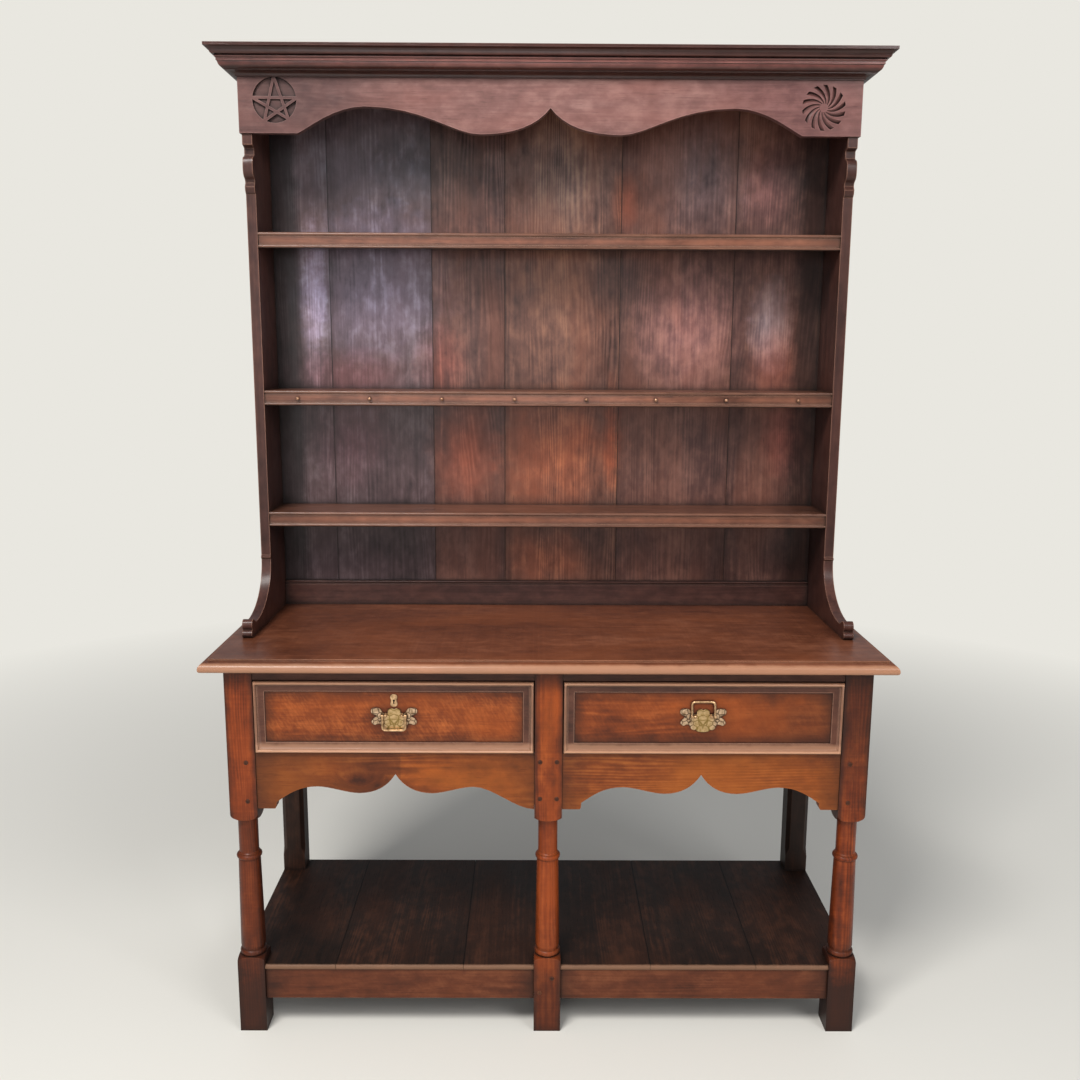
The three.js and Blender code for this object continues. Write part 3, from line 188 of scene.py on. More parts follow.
def new_material(name):
    material = bpy.data.materials.new(name)
    material.use_nodes = True
    return material, Tree(material.node_tree), material.node_tree.nodes["Principled BSDF"]


def new_object(name, data):
    made = bpy.data.objects.new(name, data)
    bpy.context.scene.collection.objects.link(made)
    return made


def add_sockets(group, side, kind, names):
    for name in names:
        group.interface.new_socket(name, in_out=side, socket_type=kind)


# Repeats in a metre of each part of the figure of oak, along the grain and across it
RIPPLE_SCALE = 7
RING_SCALE = 44.0
BREAK_SCALES = (5, 22, 22)
FIBRE_SCALES = (5, 190, 190)
STREAK_SCALES = (1.1, 62, 62)
PORE_SCALES = (28, 620, 620)
FLECK_SCALES = (210.0, 70.0)
SLOW_SCALES = (1.6, 6, 6)
CLOUD_SCALES = (3.2, 8, 8)
MOTTLE_SCALES = (24, 40, 40)
RUB_SCALES = (7, 30, 30)
WAVE_SCALE = 46.0

RING_LEAN = (0.1, 1, 1)  # the rings change ten times more slowly along the grain
RING_RIPPLE = (0.03, 0.12, 0.08)  # how far they are bent
FLECK_SLANT = 0.55  # how far the flecks lean along the grain

# Values of its noise at which each part starts and is full
BREAK_AT = (0.35, 0.65)
PORE_AT = (0.6, 0.72)
FLECK_AT = (0.4, 0.66)
PATCH_AT = (0.44, 0.66)
SLOW_AT = (0.25, 0.75)
RUB_AT = (0.25, 0.6)

# How much each part adds to the level from dark, 0, to light, 1
SLOW_LEVELS = (0.26, 0.74)
RING_LEVEL = 0.5
FIBRE_LEVEL = 0.07
STREAK_LEVEL = 0.08
MOTTLE_LEVEL = 0.2
FLECK_MEAN = 0.4  # taken off the flecks, so that they don't make the whole board lighter

# What is added to the roughness
PORE_DULL = 0.16
DIRT_DULL = 0.25
CLOUD_DULL = (-0.05, 0.07)

PORE_DARK = 0.4
FIBRE_HEIGHT = 0.35
PORE_DEPTH = 0.45
WAVE_HEIGHT = 0.8

WORN_RADIUS = 0.0035  # reach of the wear on each side of an edge
WORN_TURN = (0.995, 0.86)  # cosine to the face where the wear starts and where it is full
WORN_SHARES = (0.7, 1.0)  # the wear is uneven, between these
# Corners and grooves darken with dark wax and painted shade, by how shut in they are
CORNER_REACH = 0.028
CORNER_OPEN = (0.82, 0.3)  # openness where the wax of a corner starts and where it is full
GROOVE_REACH = 0.006
GROOVE_OPEN = (0.9, 0.45)
DIRT_AND_SHADE_BLACK = (0.004, 0.003, 0.002, 1)
NEAR_BLACK_SHARE = 0.75  # share of near black in the dark wax and painted shade of the corners


def oak_group():
    """The figure of aged oak. Its vector runs along the grain in x, in metres."""
    group = bpy.data.node_groups.new("aged_oak", "ShaderNodeTree")
    add_sockets(group, "INPUT", "NodeSocketVector", ("Vector",))
    add_sockets(group, "INPUT", "NodeSocketColor", ("Dark", "Mid", "Light", "Patch", "Worn"))
    amounts = ("Patches", "Rings", "Flecks", "Wear", "Grime_and_shade", "Roughness")
    add_sockets(group, "INPUT", "NodeSocketFloat", amounts)
    add_sockets(group, "OUTPUT", "NodeSocketColor", ("Color",))
    add_sockets(group, "OUTPUT", "NodeSocketFloat", ("Roughness", "Height"))
    t = Tree(group)
    given = t.add("NodeGroupInput").outputs
    place = given["Vector"]

    # Growth rings round an axis that leans a little to the board, broken up along the grain
    lean = t.vector("MULTIPLY", place, RING_LEAN)
    bent = t.vector("ADD", lean, t.scaled(RING_RIPPLE, t.noise(lean, RIPPLE_SCALE)))
    rings = t.add(
        "ShaderNodeTexWave",
        {
            "Vector": bent,
            "Scale": RING_SCALE,
            "Distortion": 6.0,
            "Detail": 3.0,
            "Detail Scale": 0.9,
        },
        wave_type="RINGS",
        rings_direction="X",
        wave_profile="SIN",
    ).outputs["Fac"]
    broken = t.span(t.drawn_noise(place, BREAK_SCALES, 2.0), *BREAK_AT)

    # Fibres and open pores, drawn out along the grain
    fibre = t.drawn_noise(place, FIBRE_SCALES, 3.0, 0.55)
    streak = t.drawn_noise(place, STREAK_SCALES)
    pore = t.span(t.drawn_noise(place, PORE_SCALES, 2.0, 0.6), *PORE_AT)

    # Silky ripple that crosses the grain where the board is cut on the quarter
    axes = t.split(place)
    slanted = t.math("ADD", axes["X"], t.math("MULTIPLY", axes["Z"], FLECK_SLANT))
    along = t.math("MULTIPLY", slanted, FLECK_SCALES[0])
    across = t.math("MULTIPLY", axes["Z"], FLECK_SCALES[1])
    fleck = t.span(t.noise(t.joined(x=along, z=across), 1.0, 3.0, 0.55, 0.5), *FLECK_AT)

    # Slow changes over the board
    slow = t.drawn_noise(place, SLOW_SCALES, 2.0)
    cloud = t.drawn_noise(place, CLOUD_SCALES, 3.0, 0.55, 0.4)
    mottle = t.drawn_noise(place, MOTTLE_SCALES, 4.0, 0.58, 0.2)

    # All of these add up to a level, from dark to light
    figure = t.math("MULTIPLY", given["Rings"], broken)
    ring_part = t.math("MULTIPLY", t.math("SUBTRACT", rings, 0.5), figure)
    fleck_part = t.math("MULTIPLY", t.math("SUBTRACT", fleck, FLECK_MEAN), given["Flecks"])
    level = t.span(slow, *SLOW_AT, *SLOW_LEVELS)
    level = t.math("ADD", level, t.math("MULTIPLY", ring_part, RING_LEVEL))
    level = t.math("ADD", level, t.swing(fibre, -FIBRE_LEVEL, FIBRE_LEVEL))
    level = t.math("ADD", level, t.swing(streak, -STREAK_LEVEL, STREAK_LEVEL))
    level = t.math("ADD", level, t.swing(mottle, -MOTTLE_LEVEL, MOTTLE_LEVEL))
    level = t.math("ADD", level, fleck_part)
    lower = t.mix(t.span(level, 0.0, 0.5), given["Dark"], given["Mid"])
    wood = t.mix(t.span(level, 0.5, 1.0), lower, given["Light"])
    patches = t.math("MULTIPLY", t.span(cloud, *PATCH_AT), given["Patches"])
    wood = t.mix(patches, wood, given["Patch"])
    wood = t.mix(t.math("MULTIPLY", pore, PORE_DARK), wood, given["Dark"])

    # Paler worn edges, and dark wax with painted shade in the corners and grooves
    face = t.add("ShaderNodeNewGeometry").outputs["Normal"]
    edge = t.span(t.vector("DOT_PRODUCT", t.rounded(WORN_RADIUS), face), *WORN_TURN)
    rub = t.span(t.drawn_noise(place, RUB_SCALES), *RUB_AT, *WORN_SHARES)
    worn = t.math("MULTIPLY", t.math("MULTIPLY", edge, rub), given["Wear"])
    wood = t.mix(worn, wood, given["Worn"])
    corner = t.span(t.openness(CORNER_REACH), *CORNER_OPEN)
    groove = t.span(t.openness(GROOVE_REACH), *GROOVE_OPEN)
    dirt_and_shade = t.math("MULTIPLY", t.math("MAXIMUM", corner, groove), given["Grime_and_shade"])
    wood = t.mix(dirt_and_shade, wood, t.mix(NEAR_BLACK_SHARE, given["Dark"], DIRT_AND_SHADE_BLACK))

    # Pores and the darkened corners are dull, and the pores lie low between the fibres
    rough = t.math("ADD", given["Roughness"], t.swing(cloud, *CLOUD_DULL))
    rough = t.math("ADD", rough, t.math("MULTIPLY", pore, PORE_DULL))
    rough = t.math("ADD", rough, t.math("MULTIPLY", dirt_and_shade, DIRT_DULL), clamp=True)
    raised = t.math("MULTIPLY", fibre, FIBRE_HEIGHT)
    height = t.math("SUBTRACT", raised, t.math("MULTIPLY", pore, PORE_DEPTH))
    waves = t.noise(place, WAVE_SCALE, 2.0)
    height = t.math("ADD", height, t.math("MULTIPLY", waves, WAVE_HEIGHT))
    t.add("NodeGroupOutput", {"Color": wood, "Roughness": rough, "Height": height})
    return group


aged_oak = oak_group()


def grain_vector(t, grain, seed, box):
    """Place in a board with x along the grain, moved so that no two boards match."""
    axes = t.split(t.vector("SUBTRACT", t.place(), middle_of(box)))
    order = {"x": "XYZ", "y": "YXZ", "z": "ZXY"}[grain]
    turned = t.joined(*(axes[axis] for axis in order))
    shift = (seed * 1.37, math.sin(seed * 2.4) * 0.12, 0.02 + math.cos(seed * 1.7) * 0.05)
    return t.vector("ADD", turned, shift)


# A colour that grows along an axis, from where it starts to where it has its full strength; it makes stains,
# painted shade and painted highlights
Shade = namedtuple("Shade", "axis start full strength tint")
# A patch for stains, painted highlights, sheen and shade: its middle and reach in x and z, and what it
# multiplies colours by
Glow = namedtuple("Glow", "place reach lift")

DRIFT_SCALE = 30.0  # repeats in a metre of the unevenness of every stain and patch
SHADE_DRIFT = 1.2  # as a share of the length that the stain grows over
GLOW_DRIFT = 0.7  # as a share of the reach of the patch
GLOW_FADE = (1.2, 0.2)  # shares of the reach where a patch starts and where it is full
GLOW_STRENGTH = 0.85

KNOT_SHAPE = (0.6, 0.2, 1)  # a knot is longer along the board than across it
KNOT_PULL = (0.0, 0.02, 0.03)  # how far the grain is drawn aside at the knot
KNOT_REACH = 0.035
KNOT_HEART = (0.011, 0.004)  # where its dark heart starts and where it is full
KNOT_RAGGED = 0.003  # unevenness of its outline
KNOT_SCALE = 120.0
KNOT_STRENGTH = 0.85

OAK_ROUNDING = 0.0014
OAK_RELIEF = 0.0008
OAK_SPECULAR = 0.22
COAT_ROUGHNESS = 0.22


def oak(
    name,
    box,
    colours,
    grain,
    seed,
    patches=0.3,
    rings=0.3,
    flecks=0.0,
    wear=0.6,
    grime=0.8,
    roughness=0.45,
    coat=0.05,
    shades=(),
    glows=(),
    knot=None,
    bump=0.3,
):
    """Aged oak for a board that fills box, with the grain along an axis. The colours are dark,
    mid, light, patch and worn, and knot is the middle of a knot."""
    material, t, shader = new_material(name)
    dark, mid, light, patch, worn = colours
    place = grain_vector(t, grain, seed, box)
    spot = t.place()
    if knot:
        away = t.vector("MULTIPLY", t.vector("SUBTRACT", spot, knot), KNOT_SHAPE)
        from_knot = t.vector("LENGTH", away)
        pull = t.span(from_knot, KNOT_REACH, 0.0)
        place = t.vector("ADD", place, t.scaled(KNOT_PULL, pull))
    wood = t.add(
        "ShaderNodeGroup",
        {
            "Vector": place,
            "Dark": dark,
            "Mid": mid,
            "Light": light,
            "Patch": patch,
            "Worn": worn,
            "Patches": patches,
            "Rings": rings,
            "Flecks": flecks,
            "Wear": wear,
            "Grime_and_shade": grime,
            "Roughness": roughness,
        },
        node_tree=aged_oak,
    )
    colour = wood.outputs["Color"]
    if knot:
        ragged = t.swing(t.noise(spot, KNOT_SCALE), -KNOT_RAGGED, KNOT_RAGGED)
        heart = t.span(t.math("ADD", from_knot, ragged), *KNOT_HEART, 0.0, KNOT_STRENGTH)
        colour = t.mix(heart, colour, dark)
    if shades or glows:
        axes = t.split(spot)
        drift = t.math("SUBTRACT", t.noise(spot, DRIFT_SCALE, 3.0, 0.6), 0.5)
    for glow in glows:
        (x, z), (reach_x, reach_z) = glow.place, glow.reach
        away = t.vector("SUBTRACT", spot, (x, 0, z))
        away = t.vector("MULTIPLY", away, (1 / reach_x, 0, 1 / reach_z))
        out = t.math("ADD", t.vector("LENGTH", away), t.math("MULTIPLY", drift, GLOW_DRIFT))
        amount = t.span(out, *GLOW_FADE, 0.0, GLOW_STRENGTH)
        colour = t.mix(amount, colour, (*glow.lift, 1), "MULTIPLY")
    for shade in shades:
        uneven = t.math("MULTIPLY", drift, abs(shade.full - shade.start) * SHADE_DRIFT)
        moved = t.math("ADD", axes[shade.axis], uneven)
        amount = t.span(moved, shade.start, shade.full, 0.0, shade.strength)
        colour = t.mix(amount, colour, shade.tint)
    t.feed_all(
        shader,
        {
            "Base Color": colour,
            "Roughness": wood.outputs["Roughness"],
            "Specular IOR Level": OAK_SPECULAR,
            "Coat Weight": coat,
            "Coat Roughness": COAT_ROUGHNESS,
        },
    )
    t.relief(shader, wood.outputs["Height"], bump, OAK_RELIEF, OAK_ROUNDING)
    return material


HANDLE_X = middle_of(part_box("right_handle_plate")).x
CHASED_LINE = tone(44, 28, 18)
OLIVE = tone(178, 148, 74)
METAL_DIRT = (0.03, 0.018, 0.008, 1)
PATINA_SCALE = 130.0  # repeats in a metre
FINE_SCALE = 900.0
PATINA_AT = (0.4, 0.68)
PATINA_HEIGHT = 0.7
FINE_HEIGHT = 0.3
METAL_REACH = 0.006  # how far the dirt spreads out of a corner
METAL_OPEN = (0.75, 0.2)
METAL_DARK = 0.8
METAL_DULL = (-0.08, 0.14)  # added to the roughness
METAL_BUMP = 0.3
METAL_RELIEF = 0.0005
METAL_ROUNDING = 0.0005
METALLIC = 0.9
LOBE_SCALE = 88.0
# Two distances, and the amount at each of them
LOBE_LINE = (0.11, 0.02, 0.0, 0.9)  # the dark line between two lobes
LOBE_RISE = (0.0, 0.3, 0.0, 2.0)  # the height of a lobe
PLATE_HEART = (0.026, 0.014, 0.0, 0.45)  # the olive in the middle of the plate


def metal(name, bright, dull, roughness, patina=0.8, chased=False):
    """Old metal, bright where it is rubbed and dull in its corners. A chased plate has lobes
    with dark lines between them, the same to both sides of its middle."""
    material, t, shader = new_material(name)
    place = t.place()
    cloud = t.noise(place, PATINA_SCALE, 4.0, 0.6)
    fine = t.noise(place, FINE_SCALE, 2.0)
    colour = t.mix(t.span(cloud, *PATINA_AT, 0.0, patina), bright, dull)
    raised = t.math("MULTIPLY", cloud, PATINA_HEIGHT)
    height = t.math("ADD", raised, t.math("MULTIPLY", fine, FINE_HEIGHT))
    if chased:
        axes = t.split(place)
        out = t.math("SUBTRACT", t.math("ABSOLUTE", axes["X"]), HANDLE_X)
        out = t.math("ABSOLUTE", out)
        lobes = t.add(
            "ShaderNodeTexVoronoi",
            {"Vector": t.joined(x=out, z=axes["Z"]), "Scale": LOBE_SCALE, "Randomness": 0.7},
            feature="DISTANCE_TO_EDGE",
        ).outputs["Distance"]
        colour = t.mix(t.span(lobes, *LOBE_LINE), colour, CHASED_LINE)
        colour = t.mix(t.span(out, *PLATE_HEART), colour, OLIVE)
        height = t.math("ADD", height, t.span(lobes, *LOBE_RISE))
    corner = t.span(t.openness(METAL_REACH), *METAL_OPEN)
    colour = t.mix(t.math("MULTIPLY", corner, METAL_DARK), colour, METAL_DIRT)
    rough = t.swing(cloud, *(roughness + added for added in METAL_DULL))
    t.feed_all(shader, {"Base Color": colour, "Roughness": rough, "Metallic": METALLIC})
    t.relief(shader, height, METAL_BUMP, METAL_RELIEF, METAL_ROUNDING)
    return material


SHARP_EDGE = math.radians(35)
WELD_REACH = 0.000002


def smooth_faces():
    """A modifier group that smooths the shading across all but the sharp edges."""
    group = bpy.data.node_groups.new("smooth_faces", "GeometryNodeTree")
    for side in ("INPUT", "OUTPUT"):
        add_sockets(group, side, "NodeSocketGeometry", ("Geometry",))
    t = Tree(group)
    angle = t.add("GeometryNodeInputMeshEdgeAngle").outputs[0]
    sharp = t.add("FunctionNodeCompare", {0: angle, 1: SHARP_EDGE}, operation="GREATER_THAN")
    faces = t.add(
        "GeometryNodeSetShadeSmooth",
        {"Geometry": t.add("NodeGroupInput").outputs[0], "Shade Smooth": True},
        domain="FACE",
    )
    edges = t.add(
        "GeometryNodeSetShadeSmooth",
        {"Geometry": faces.outputs[0], "Selection": sharp.outputs[0], "Shade Smooth": False},
        domain="EDGE",
    )
    t.add("NodeGroupOutput", {"Geometry": edges.outputs[0]})
    return group


smooth_group = smooth_faces()


def smooth(piece):
    weld = piece.modifiers.new("weld", "WELD")
    weld.merge_threshold = WELD_REACH
    piece.modifiers.new("smooth", "NODES").node_group = smooth_group
    normals = piece.modifiers.new("normals", "WEIGHTED_NORMAL")
    normals.keep_sharp = True


def dress(node, material):
    piece = nodes[node]
    piece.data.materials.clear()
    piece.data.materials.append(material)
    smooth(piece)


def dress_oak(node, colours, grain, seed, **look):
    """Gives a board of the model an oak of its own."""
    dress(node, oak(node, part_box(node), colours, grain, seed, **look))


# Woods, each as dark, mid, light, patch and worn edge
POST = (tone(46, 17, 6), tone(114, 46, 15), tone(164, 80, 34), tone(146, 64, 20), tone(170, 90, 46))
APRON = (tone(70, 31, 10), tone(122, 58, 20), tone(168, 94, 40), tone(152, 80, 24), tone(176, 104, 52))
FRONT = (tone(70, 28, 10), tone(122, 56, 20), tone(172, 92, 42), tone(150, 70, 20), tone(176, 98, 50))
# MOULD is kept dark as painted shade in the hollows of the drawer mouldings
MOULD = (tone(34, 16, 12), tone(80, 46, 34), tone(108, 68, 52), tone(92, 50, 34), tone(188, 142, 118))
TOP = (tone(78, 42, 30), tone(112, 64, 44), tone(150, 94, 68), tone(130, 72, 44), tone(180, 124, 92))
POT = (tone(15, 8, 5), tone(38, 22, 15), tone(78, 46, 31), tone(56, 30, 19), tone(92, 62, 46))
POT_RAIL = (tone(44, 20, 12), tone(92, 46, 26), tone(128, 74, 46), tone(110, 54, 26), tone(134, 84, 56))
RACK = (tone(30, 17, 15), tone(68, 42, 37), tone(96, 62, 53), tone(84, 46, 34), tone(148, 108, 90))
CORNICE = (tone(34, 16, 14), tone(86, 50, 45), tone(118, 74, 66), tone(102, 56, 50), tone(160, 120, 110))
SHELF = (tone(44, 24, 18), tone(104, 68, 54), tone(132, 90, 72), tone(118, 72, 52), tone(190, 144, 120))
FRIEZE = (tone(70, 44, 41), tone(110, 74, 69), tone(146, 106, 98), tone(122, 74, 66), tone(152, 114, 106))
RAW = (tone(80, 58, 44), tone(132, 102, 80), tone(170, 138, 112), tone(116, 86, 66), tone(150, 118, 94))
COOL = (tone(38, 28, 28), tone(84, 66, 68), tone(128, 110, 112), tone(96, 72, 72), tone(128, 110, 112))
BACK = (tone(42, 25, 22), tone(92, 62, 56), tone(140, 98, 84), tone(122, 72, 54), tone(140, 98, 84))
WARM = (tone(48, 27, 22), tone(102, 68, 58), tone(152, 106, 84), tone(132, 76, 54), tone(152, 106, 84))
PEG_WOOD = (tone(24, 12, 8), tone(56, 28, 16), tone(110, 62, 36), tone(66, 30, 14), tone(110, 62, 36))

# Stains and wear, whose colours also serve as painted shade, shadow and highlights
SOOT_AND_SHADOW = tone(14, 8, 6)
WAX_AND_SHADE = tone(38, 20, 14)
DUST = tone(78, 60, 50)
RUBBED_AND_HIGHLIGHT = tone(200, 150, 118)


def rims(box, axes, width, strength, tint, inset=0.0):
    """Shades along both edges of a board in each of the axes."""
    found = []
    for axis in axes:
        low = box[LOW]["XYZ".index(axis)] + inset
        high = box[HIGH]["XYZ".index(axis)] - inset
        found.append(Shade(axis, low + width, low, strength, tint))
        found.append(Shade(axis, high - width, high, strength, tint))
    return found


def end_shade(box, end, axis, start, full, strength, tint):
    """A shade whose start and full are measured from the low or the high end of a board."""
    edge = box[end]["XYZ".index(axis)]
    return Shade(axis, edge + start, edge + full, strength, tint)


TENON = 0.022  # at each end of the front rails and aprons, hidden in the posts

# Darker bands on the front posts, by height: where each starts, where it is full, and its strength. They
# darken towards the floor, paint the shadow under the top, and darken the left post below its middle and the
# right one above it
POST_DARK_BANDS = {
    "left": ((0.26, 0.1, 0.8), (0.74, 0.79, 0.6), (0.52, 0.45, 0.4)),
    "middle": ((0.26, 0.1, 0.6), (0.74, 0.79, 0.6)),
    "right": ((0.26, 0.1, 0.92), (0.74, 0.79, 0.6), (0.45, 0.65, 0.68)),
}
MIDDLE_POST_GLOW = Glow((0.0, 0.65), (0.03, 0.16), (1.3, 1.5, 1.3))


def dress_front_posts():
    for number, name in enumerate(("left", "middle", "right")):
        node = f"front_post_{name}"
        shades = rims(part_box(node), "X", width=0.012, strength=0.75, tint=WAX_AND_SHADE)
        # Darker at both sides, and in bands by height with a painted shadow under the top
        shades += [Shade("Z", *wax, WAX_AND_SHADE) for wax in POST_DARK_BANDS[name]]
        dress_oak(
            node,
            POST,
            "z",
            number + 1,
            patches=0.9 if name == "middle" else 0.4,
            rings=0.7,
            flecks=0.1,
            wear=0.4,
            grime=1.0,
            roughness=0.4,
            coat=0.08,
            shades=shades,
            glows=(MIDDLE_POST_GLOW,) if name == "middle" else (),
        )


APRON_TOP_DARK = (0.58, 0.62, 0.35)  # darker towards its top, by height: where it starts, where it is full, and its strength
APRON_LINE = (-0.298, -0.301, 0.3)  # by x: the left apron is darker beyond a line in its grain
APRON_KNOT = (-0.386, FRONT_FACE, 0.562)
# Patches of the left apron: dark round the knot, and paler to both sides of it
APRON_GLOWS = (
    Glow((-0.37, 0.56), (0.06, 0.04), (0.5, 0.42, 0.4)),
    Glow((-0.44, 0.59), (0.05, 0.04), (1.2, 1.15, 1.0)),
    Glow((-0.25, 0.59), (0.07, 0.05), (1.4, 1.4, 1.2)),
    Glow((-0.16, 0.57), (0.07, 0.03), (1.2, 1.25, 1.1)),
)


def dress_aprons():
    for number, name in enumerate(SIDES):
        node = f"apron_{name}"
        shades = rims(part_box(node), "X", width=0.06, strength=0.5, tint=WAX_AND_SHADE, inset=TENON)
        shades.append(Shade("Z", *APRON_TOP_DARK, WAX_AND_SHADE))
        extra = {}
        if name == "left":
            shades.append(Shade("X", *APRON_LINE, WAX_AND_SHADE))
            extra = {"glows": APRON_GLOWS, "knot": APRON_KNOT}
        dress_oak(
            node,
            APRON,
            "x",
            number + 11,
            patches=0.6,
            rings=0.7,
            flecks=0.05,
            grime=0.9,
            roughness=0.42,
            coat=0.08,
            shades=shades,
            **extra,
        )


# Wood that was never waxed
UNFINISHED = {"flecks": 0.1, "grime": 0.6, "roughness": 0.7, "coat": 0.0}


def dress_frame():
    """The other rails and panels of the base, left and right, and its back."""
    for number, name in enumerate(SIDES):
        dress_oak(f"rear_post_{name}", POT, "z", number + 5, wear=0.4, roughness=0.5)
        node = f"top_rail_{name}"
        dress_oak(node, MOULD, "x", number + 8, patches=0.2, wear=0.3, grime=0.9, roughness=0.42)
        dress_oak(f"side_panel_{name}", FRONT, "y", number + 14, rings=0.4, flecks=0.1)
        node = f"pot_rail_front_{name}"
        shades = rims(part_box(node), "X", width=0.05, strength=0.6, tint=WAX_AND_SHADE, inset=TENON)
        dress_oak(node, POT_RAIL, "x", number + 17, patches=0.4, flecks=0.05, coat=0.08, shades=shades)
        dress_oak(f"pot_rail_{name}", POT, "y", number + 20, wear=0.4, roughness=0.5)
    for number, node in enumerate(("back_panel", "pot_rail_back")):
        look = {"rings": 0.4, "flecks": 0.1, "wear": 0.3, "roughness": 0.6, "coat": 0.0}
        dress_oak(node, POT, "x", number + 25, **look)
    dress_oak("drawer_runner_middle", RAW, "y", 37, rings=0.5, wear=0.3, **UNFINISHED)


# The top is darker towards both ends, by x: where it starts, where it is full, and its strength
TOP_ENDS_DARK = ((-0.3, -0.62, 0.35), (0.45, 0.66, 0.2))
POT_BOARDS = 5


def dress_boards():
    """The top of the base, and the boards for pots under it."""
    shades = [Shade("X", *wax, WAX_AND_SHADE) for wax in TOP_ENDS_DARK]
    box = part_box("dresser_top")
    # A lighter front nose: wear with a painted highlight
    shades.append(end_shade(box, LOW, "Y", start=0.01, full=0.004, strength=0.5, tint=RUBBED_AND_HIGHLIGHT))
    dress_oak(
        "dresser_top",
        TOP,
        "x",
        23,
        patches=0.45,
        rings=0.4,
        flecks=0.1,
        wear=0.9,
        grime=0.6,
        roughness=0.32,
        coat=0.2,
        shades=shades,
    )
    for number in range(1, POT_BOARDS + 1):
        node = f"pot_board_{number}"
        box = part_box(node)
        shades = rims(box, "X", width=0.0025, strength=0.95, tint=SOOT_AND_SHADOW)
        # A lighter front edge: wear with a painted highlight
        shades.append(end_shade(box, LOW, "Y", start=0.006, full=0.002, strength=0.3, tint=RUBBED_AND_HIGHLIGHT))
        dress_oak(
            node,
            POT,
            "y",
            number + 30,
            patches=0.5,
            rings=0.4,
            wear=0.25,
            grime=0.6,
            roughness=0.52,
            coat=0.0,
            shades=shades,
        )


FRONT_FLECKS = {"left": 0.24, "right": 0.12}
FRONT_INSET = 0.021  # width of the moulding that covers the rim of a drawer front
RIGHT_FRONT_DARK = (0.32, 0.5, 0.5)  # the right front is darker towards its right, by x: where it starts, where it is full, and its strength
# A dark stain round each handle plate, partly painted shadow of the plate
PLATE_STAIN_AND_SHADOW = (0.2, 0.17, 0.17)
PLATE_HALO_REACH = (1.3, 1.7)  # as shares of half the plate, across and up
BEAD_INSET = 0.004


def dress_drawers():
    for number, name in enumerate(SIDES):
        node = f"{name}_drawer_front"
        shades = rims(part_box(node), "XZ", width=0.026, strength=0.62, tint=WAX_AND_SHADE, inset=FRONT_INSET)
        if name == "right":
            shades.append(Shade("X", *RIGHT_FRONT_DARK, WAX_AND_SHADE))
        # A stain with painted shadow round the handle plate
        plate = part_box(f"{name}_handle_plate")
        middle = middle_of(plate)
        half = (plate[HIGH] - plate[LOW]) / 2
        reach = (half.x * PLATE_HALO_REACH[0], half.z * PLATE_HALO_REACH[1])
        dress_oak(
            node,
            FRONT,
            "x",
            number + 41,
            patches=0.7,
            rings=0.4,
            flecks=FRONT_FLECKS[name],
            wear=0.3,
            grime=1.0,
            roughness=0.4,
            coat=0.1,
            shades=shades,
            glows=(Glow((middle.x, middle.z), reach, PLATE_STAIN_AND_SHADOW),),
        )
        node = f"{name}_drawer_moulding"
        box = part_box(node)
        # Painted highlights on the top and bottom beads and on the lower, upward-facing part, with some wear
        shades = rims(box, "Z", width=0.003, strength=0.7, tint=RUBBED_AND_HIGHLIGHT, inset=BEAD_INSET)
        shades += rims(box, "X", width=0.003, strength=0.25, tint=RUBBED_AND_HIGHLIGHT, inset=BEAD_INSET)
        shades.append(end_shade(box, LOW, "Z", start=0.022, full=0.014, strength=0.4, tint=RUBBED_AND_HIGHLIGHT))
        dress_oak(
            node,
            MOULD,
            "x",
            number + 44,
            patches=0.2,
            rings=0.2,
            grime=1.0,
            roughness=0.32,
            coat=0.2,
            shades=shades,
        )
        for part, grain in (("side_left", "y"), ("side_right", "y"), ("back", "x"), ("bottom", "x")):
            node = f"{name}_drawer_{part}"
            dress_oak(node, RAW, grain, number + 47, rings=0.6, wear=0.2, **UNFINISHED)


SHELF_HIGHLIGHT = ((0.8, 0.007), (1.7, 1.5, 1.35))  # reach and lift of a painted highlight along the middle of a lip


def dress_shelves():
    for number, name in enumerate(("bottom", "middle", "top")):
        node = f"shelf_{name}"
        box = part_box(node)
        shades = rims(box, "X", width=0.12, strength=0.35, tint=WAX_AND_SHADE)
        # A painted shadow along the underside of the lip
        shades.append(end_shade(box, LOW, "Z", start=0.0026, full=0.0006, strength=0.85, tint=SOOT_AND_SHADOW))
        dress_oak(
            node,
            SHELF,
            "x",
            number + 54,
            rings=0.25,
            wear=1.0,
            grime=1.0,
            roughness=0.3,
            coat=0.25,
            shades=shades,
            glows=(Glow((0, middle_of(box).z), *SHELF_HIGHLIGHT),),
        )


# The back boards from left to right: their wood, and how strongly their rings show
BACK_BOARDS = ((COOL, 0.4), (COOL, 0.4), (BACK, 0.7), (WARM, 0.7), (BACK, 0.4), (BACK, 0.4))
# Painted shadow of the rack's sides by x, on the first and the last of them: start, full and strength
BACK_SIDE_SHADOW = {1: (-0.56, -0.58, 0.7), 6: (0.55, 0.58, 0.65)}
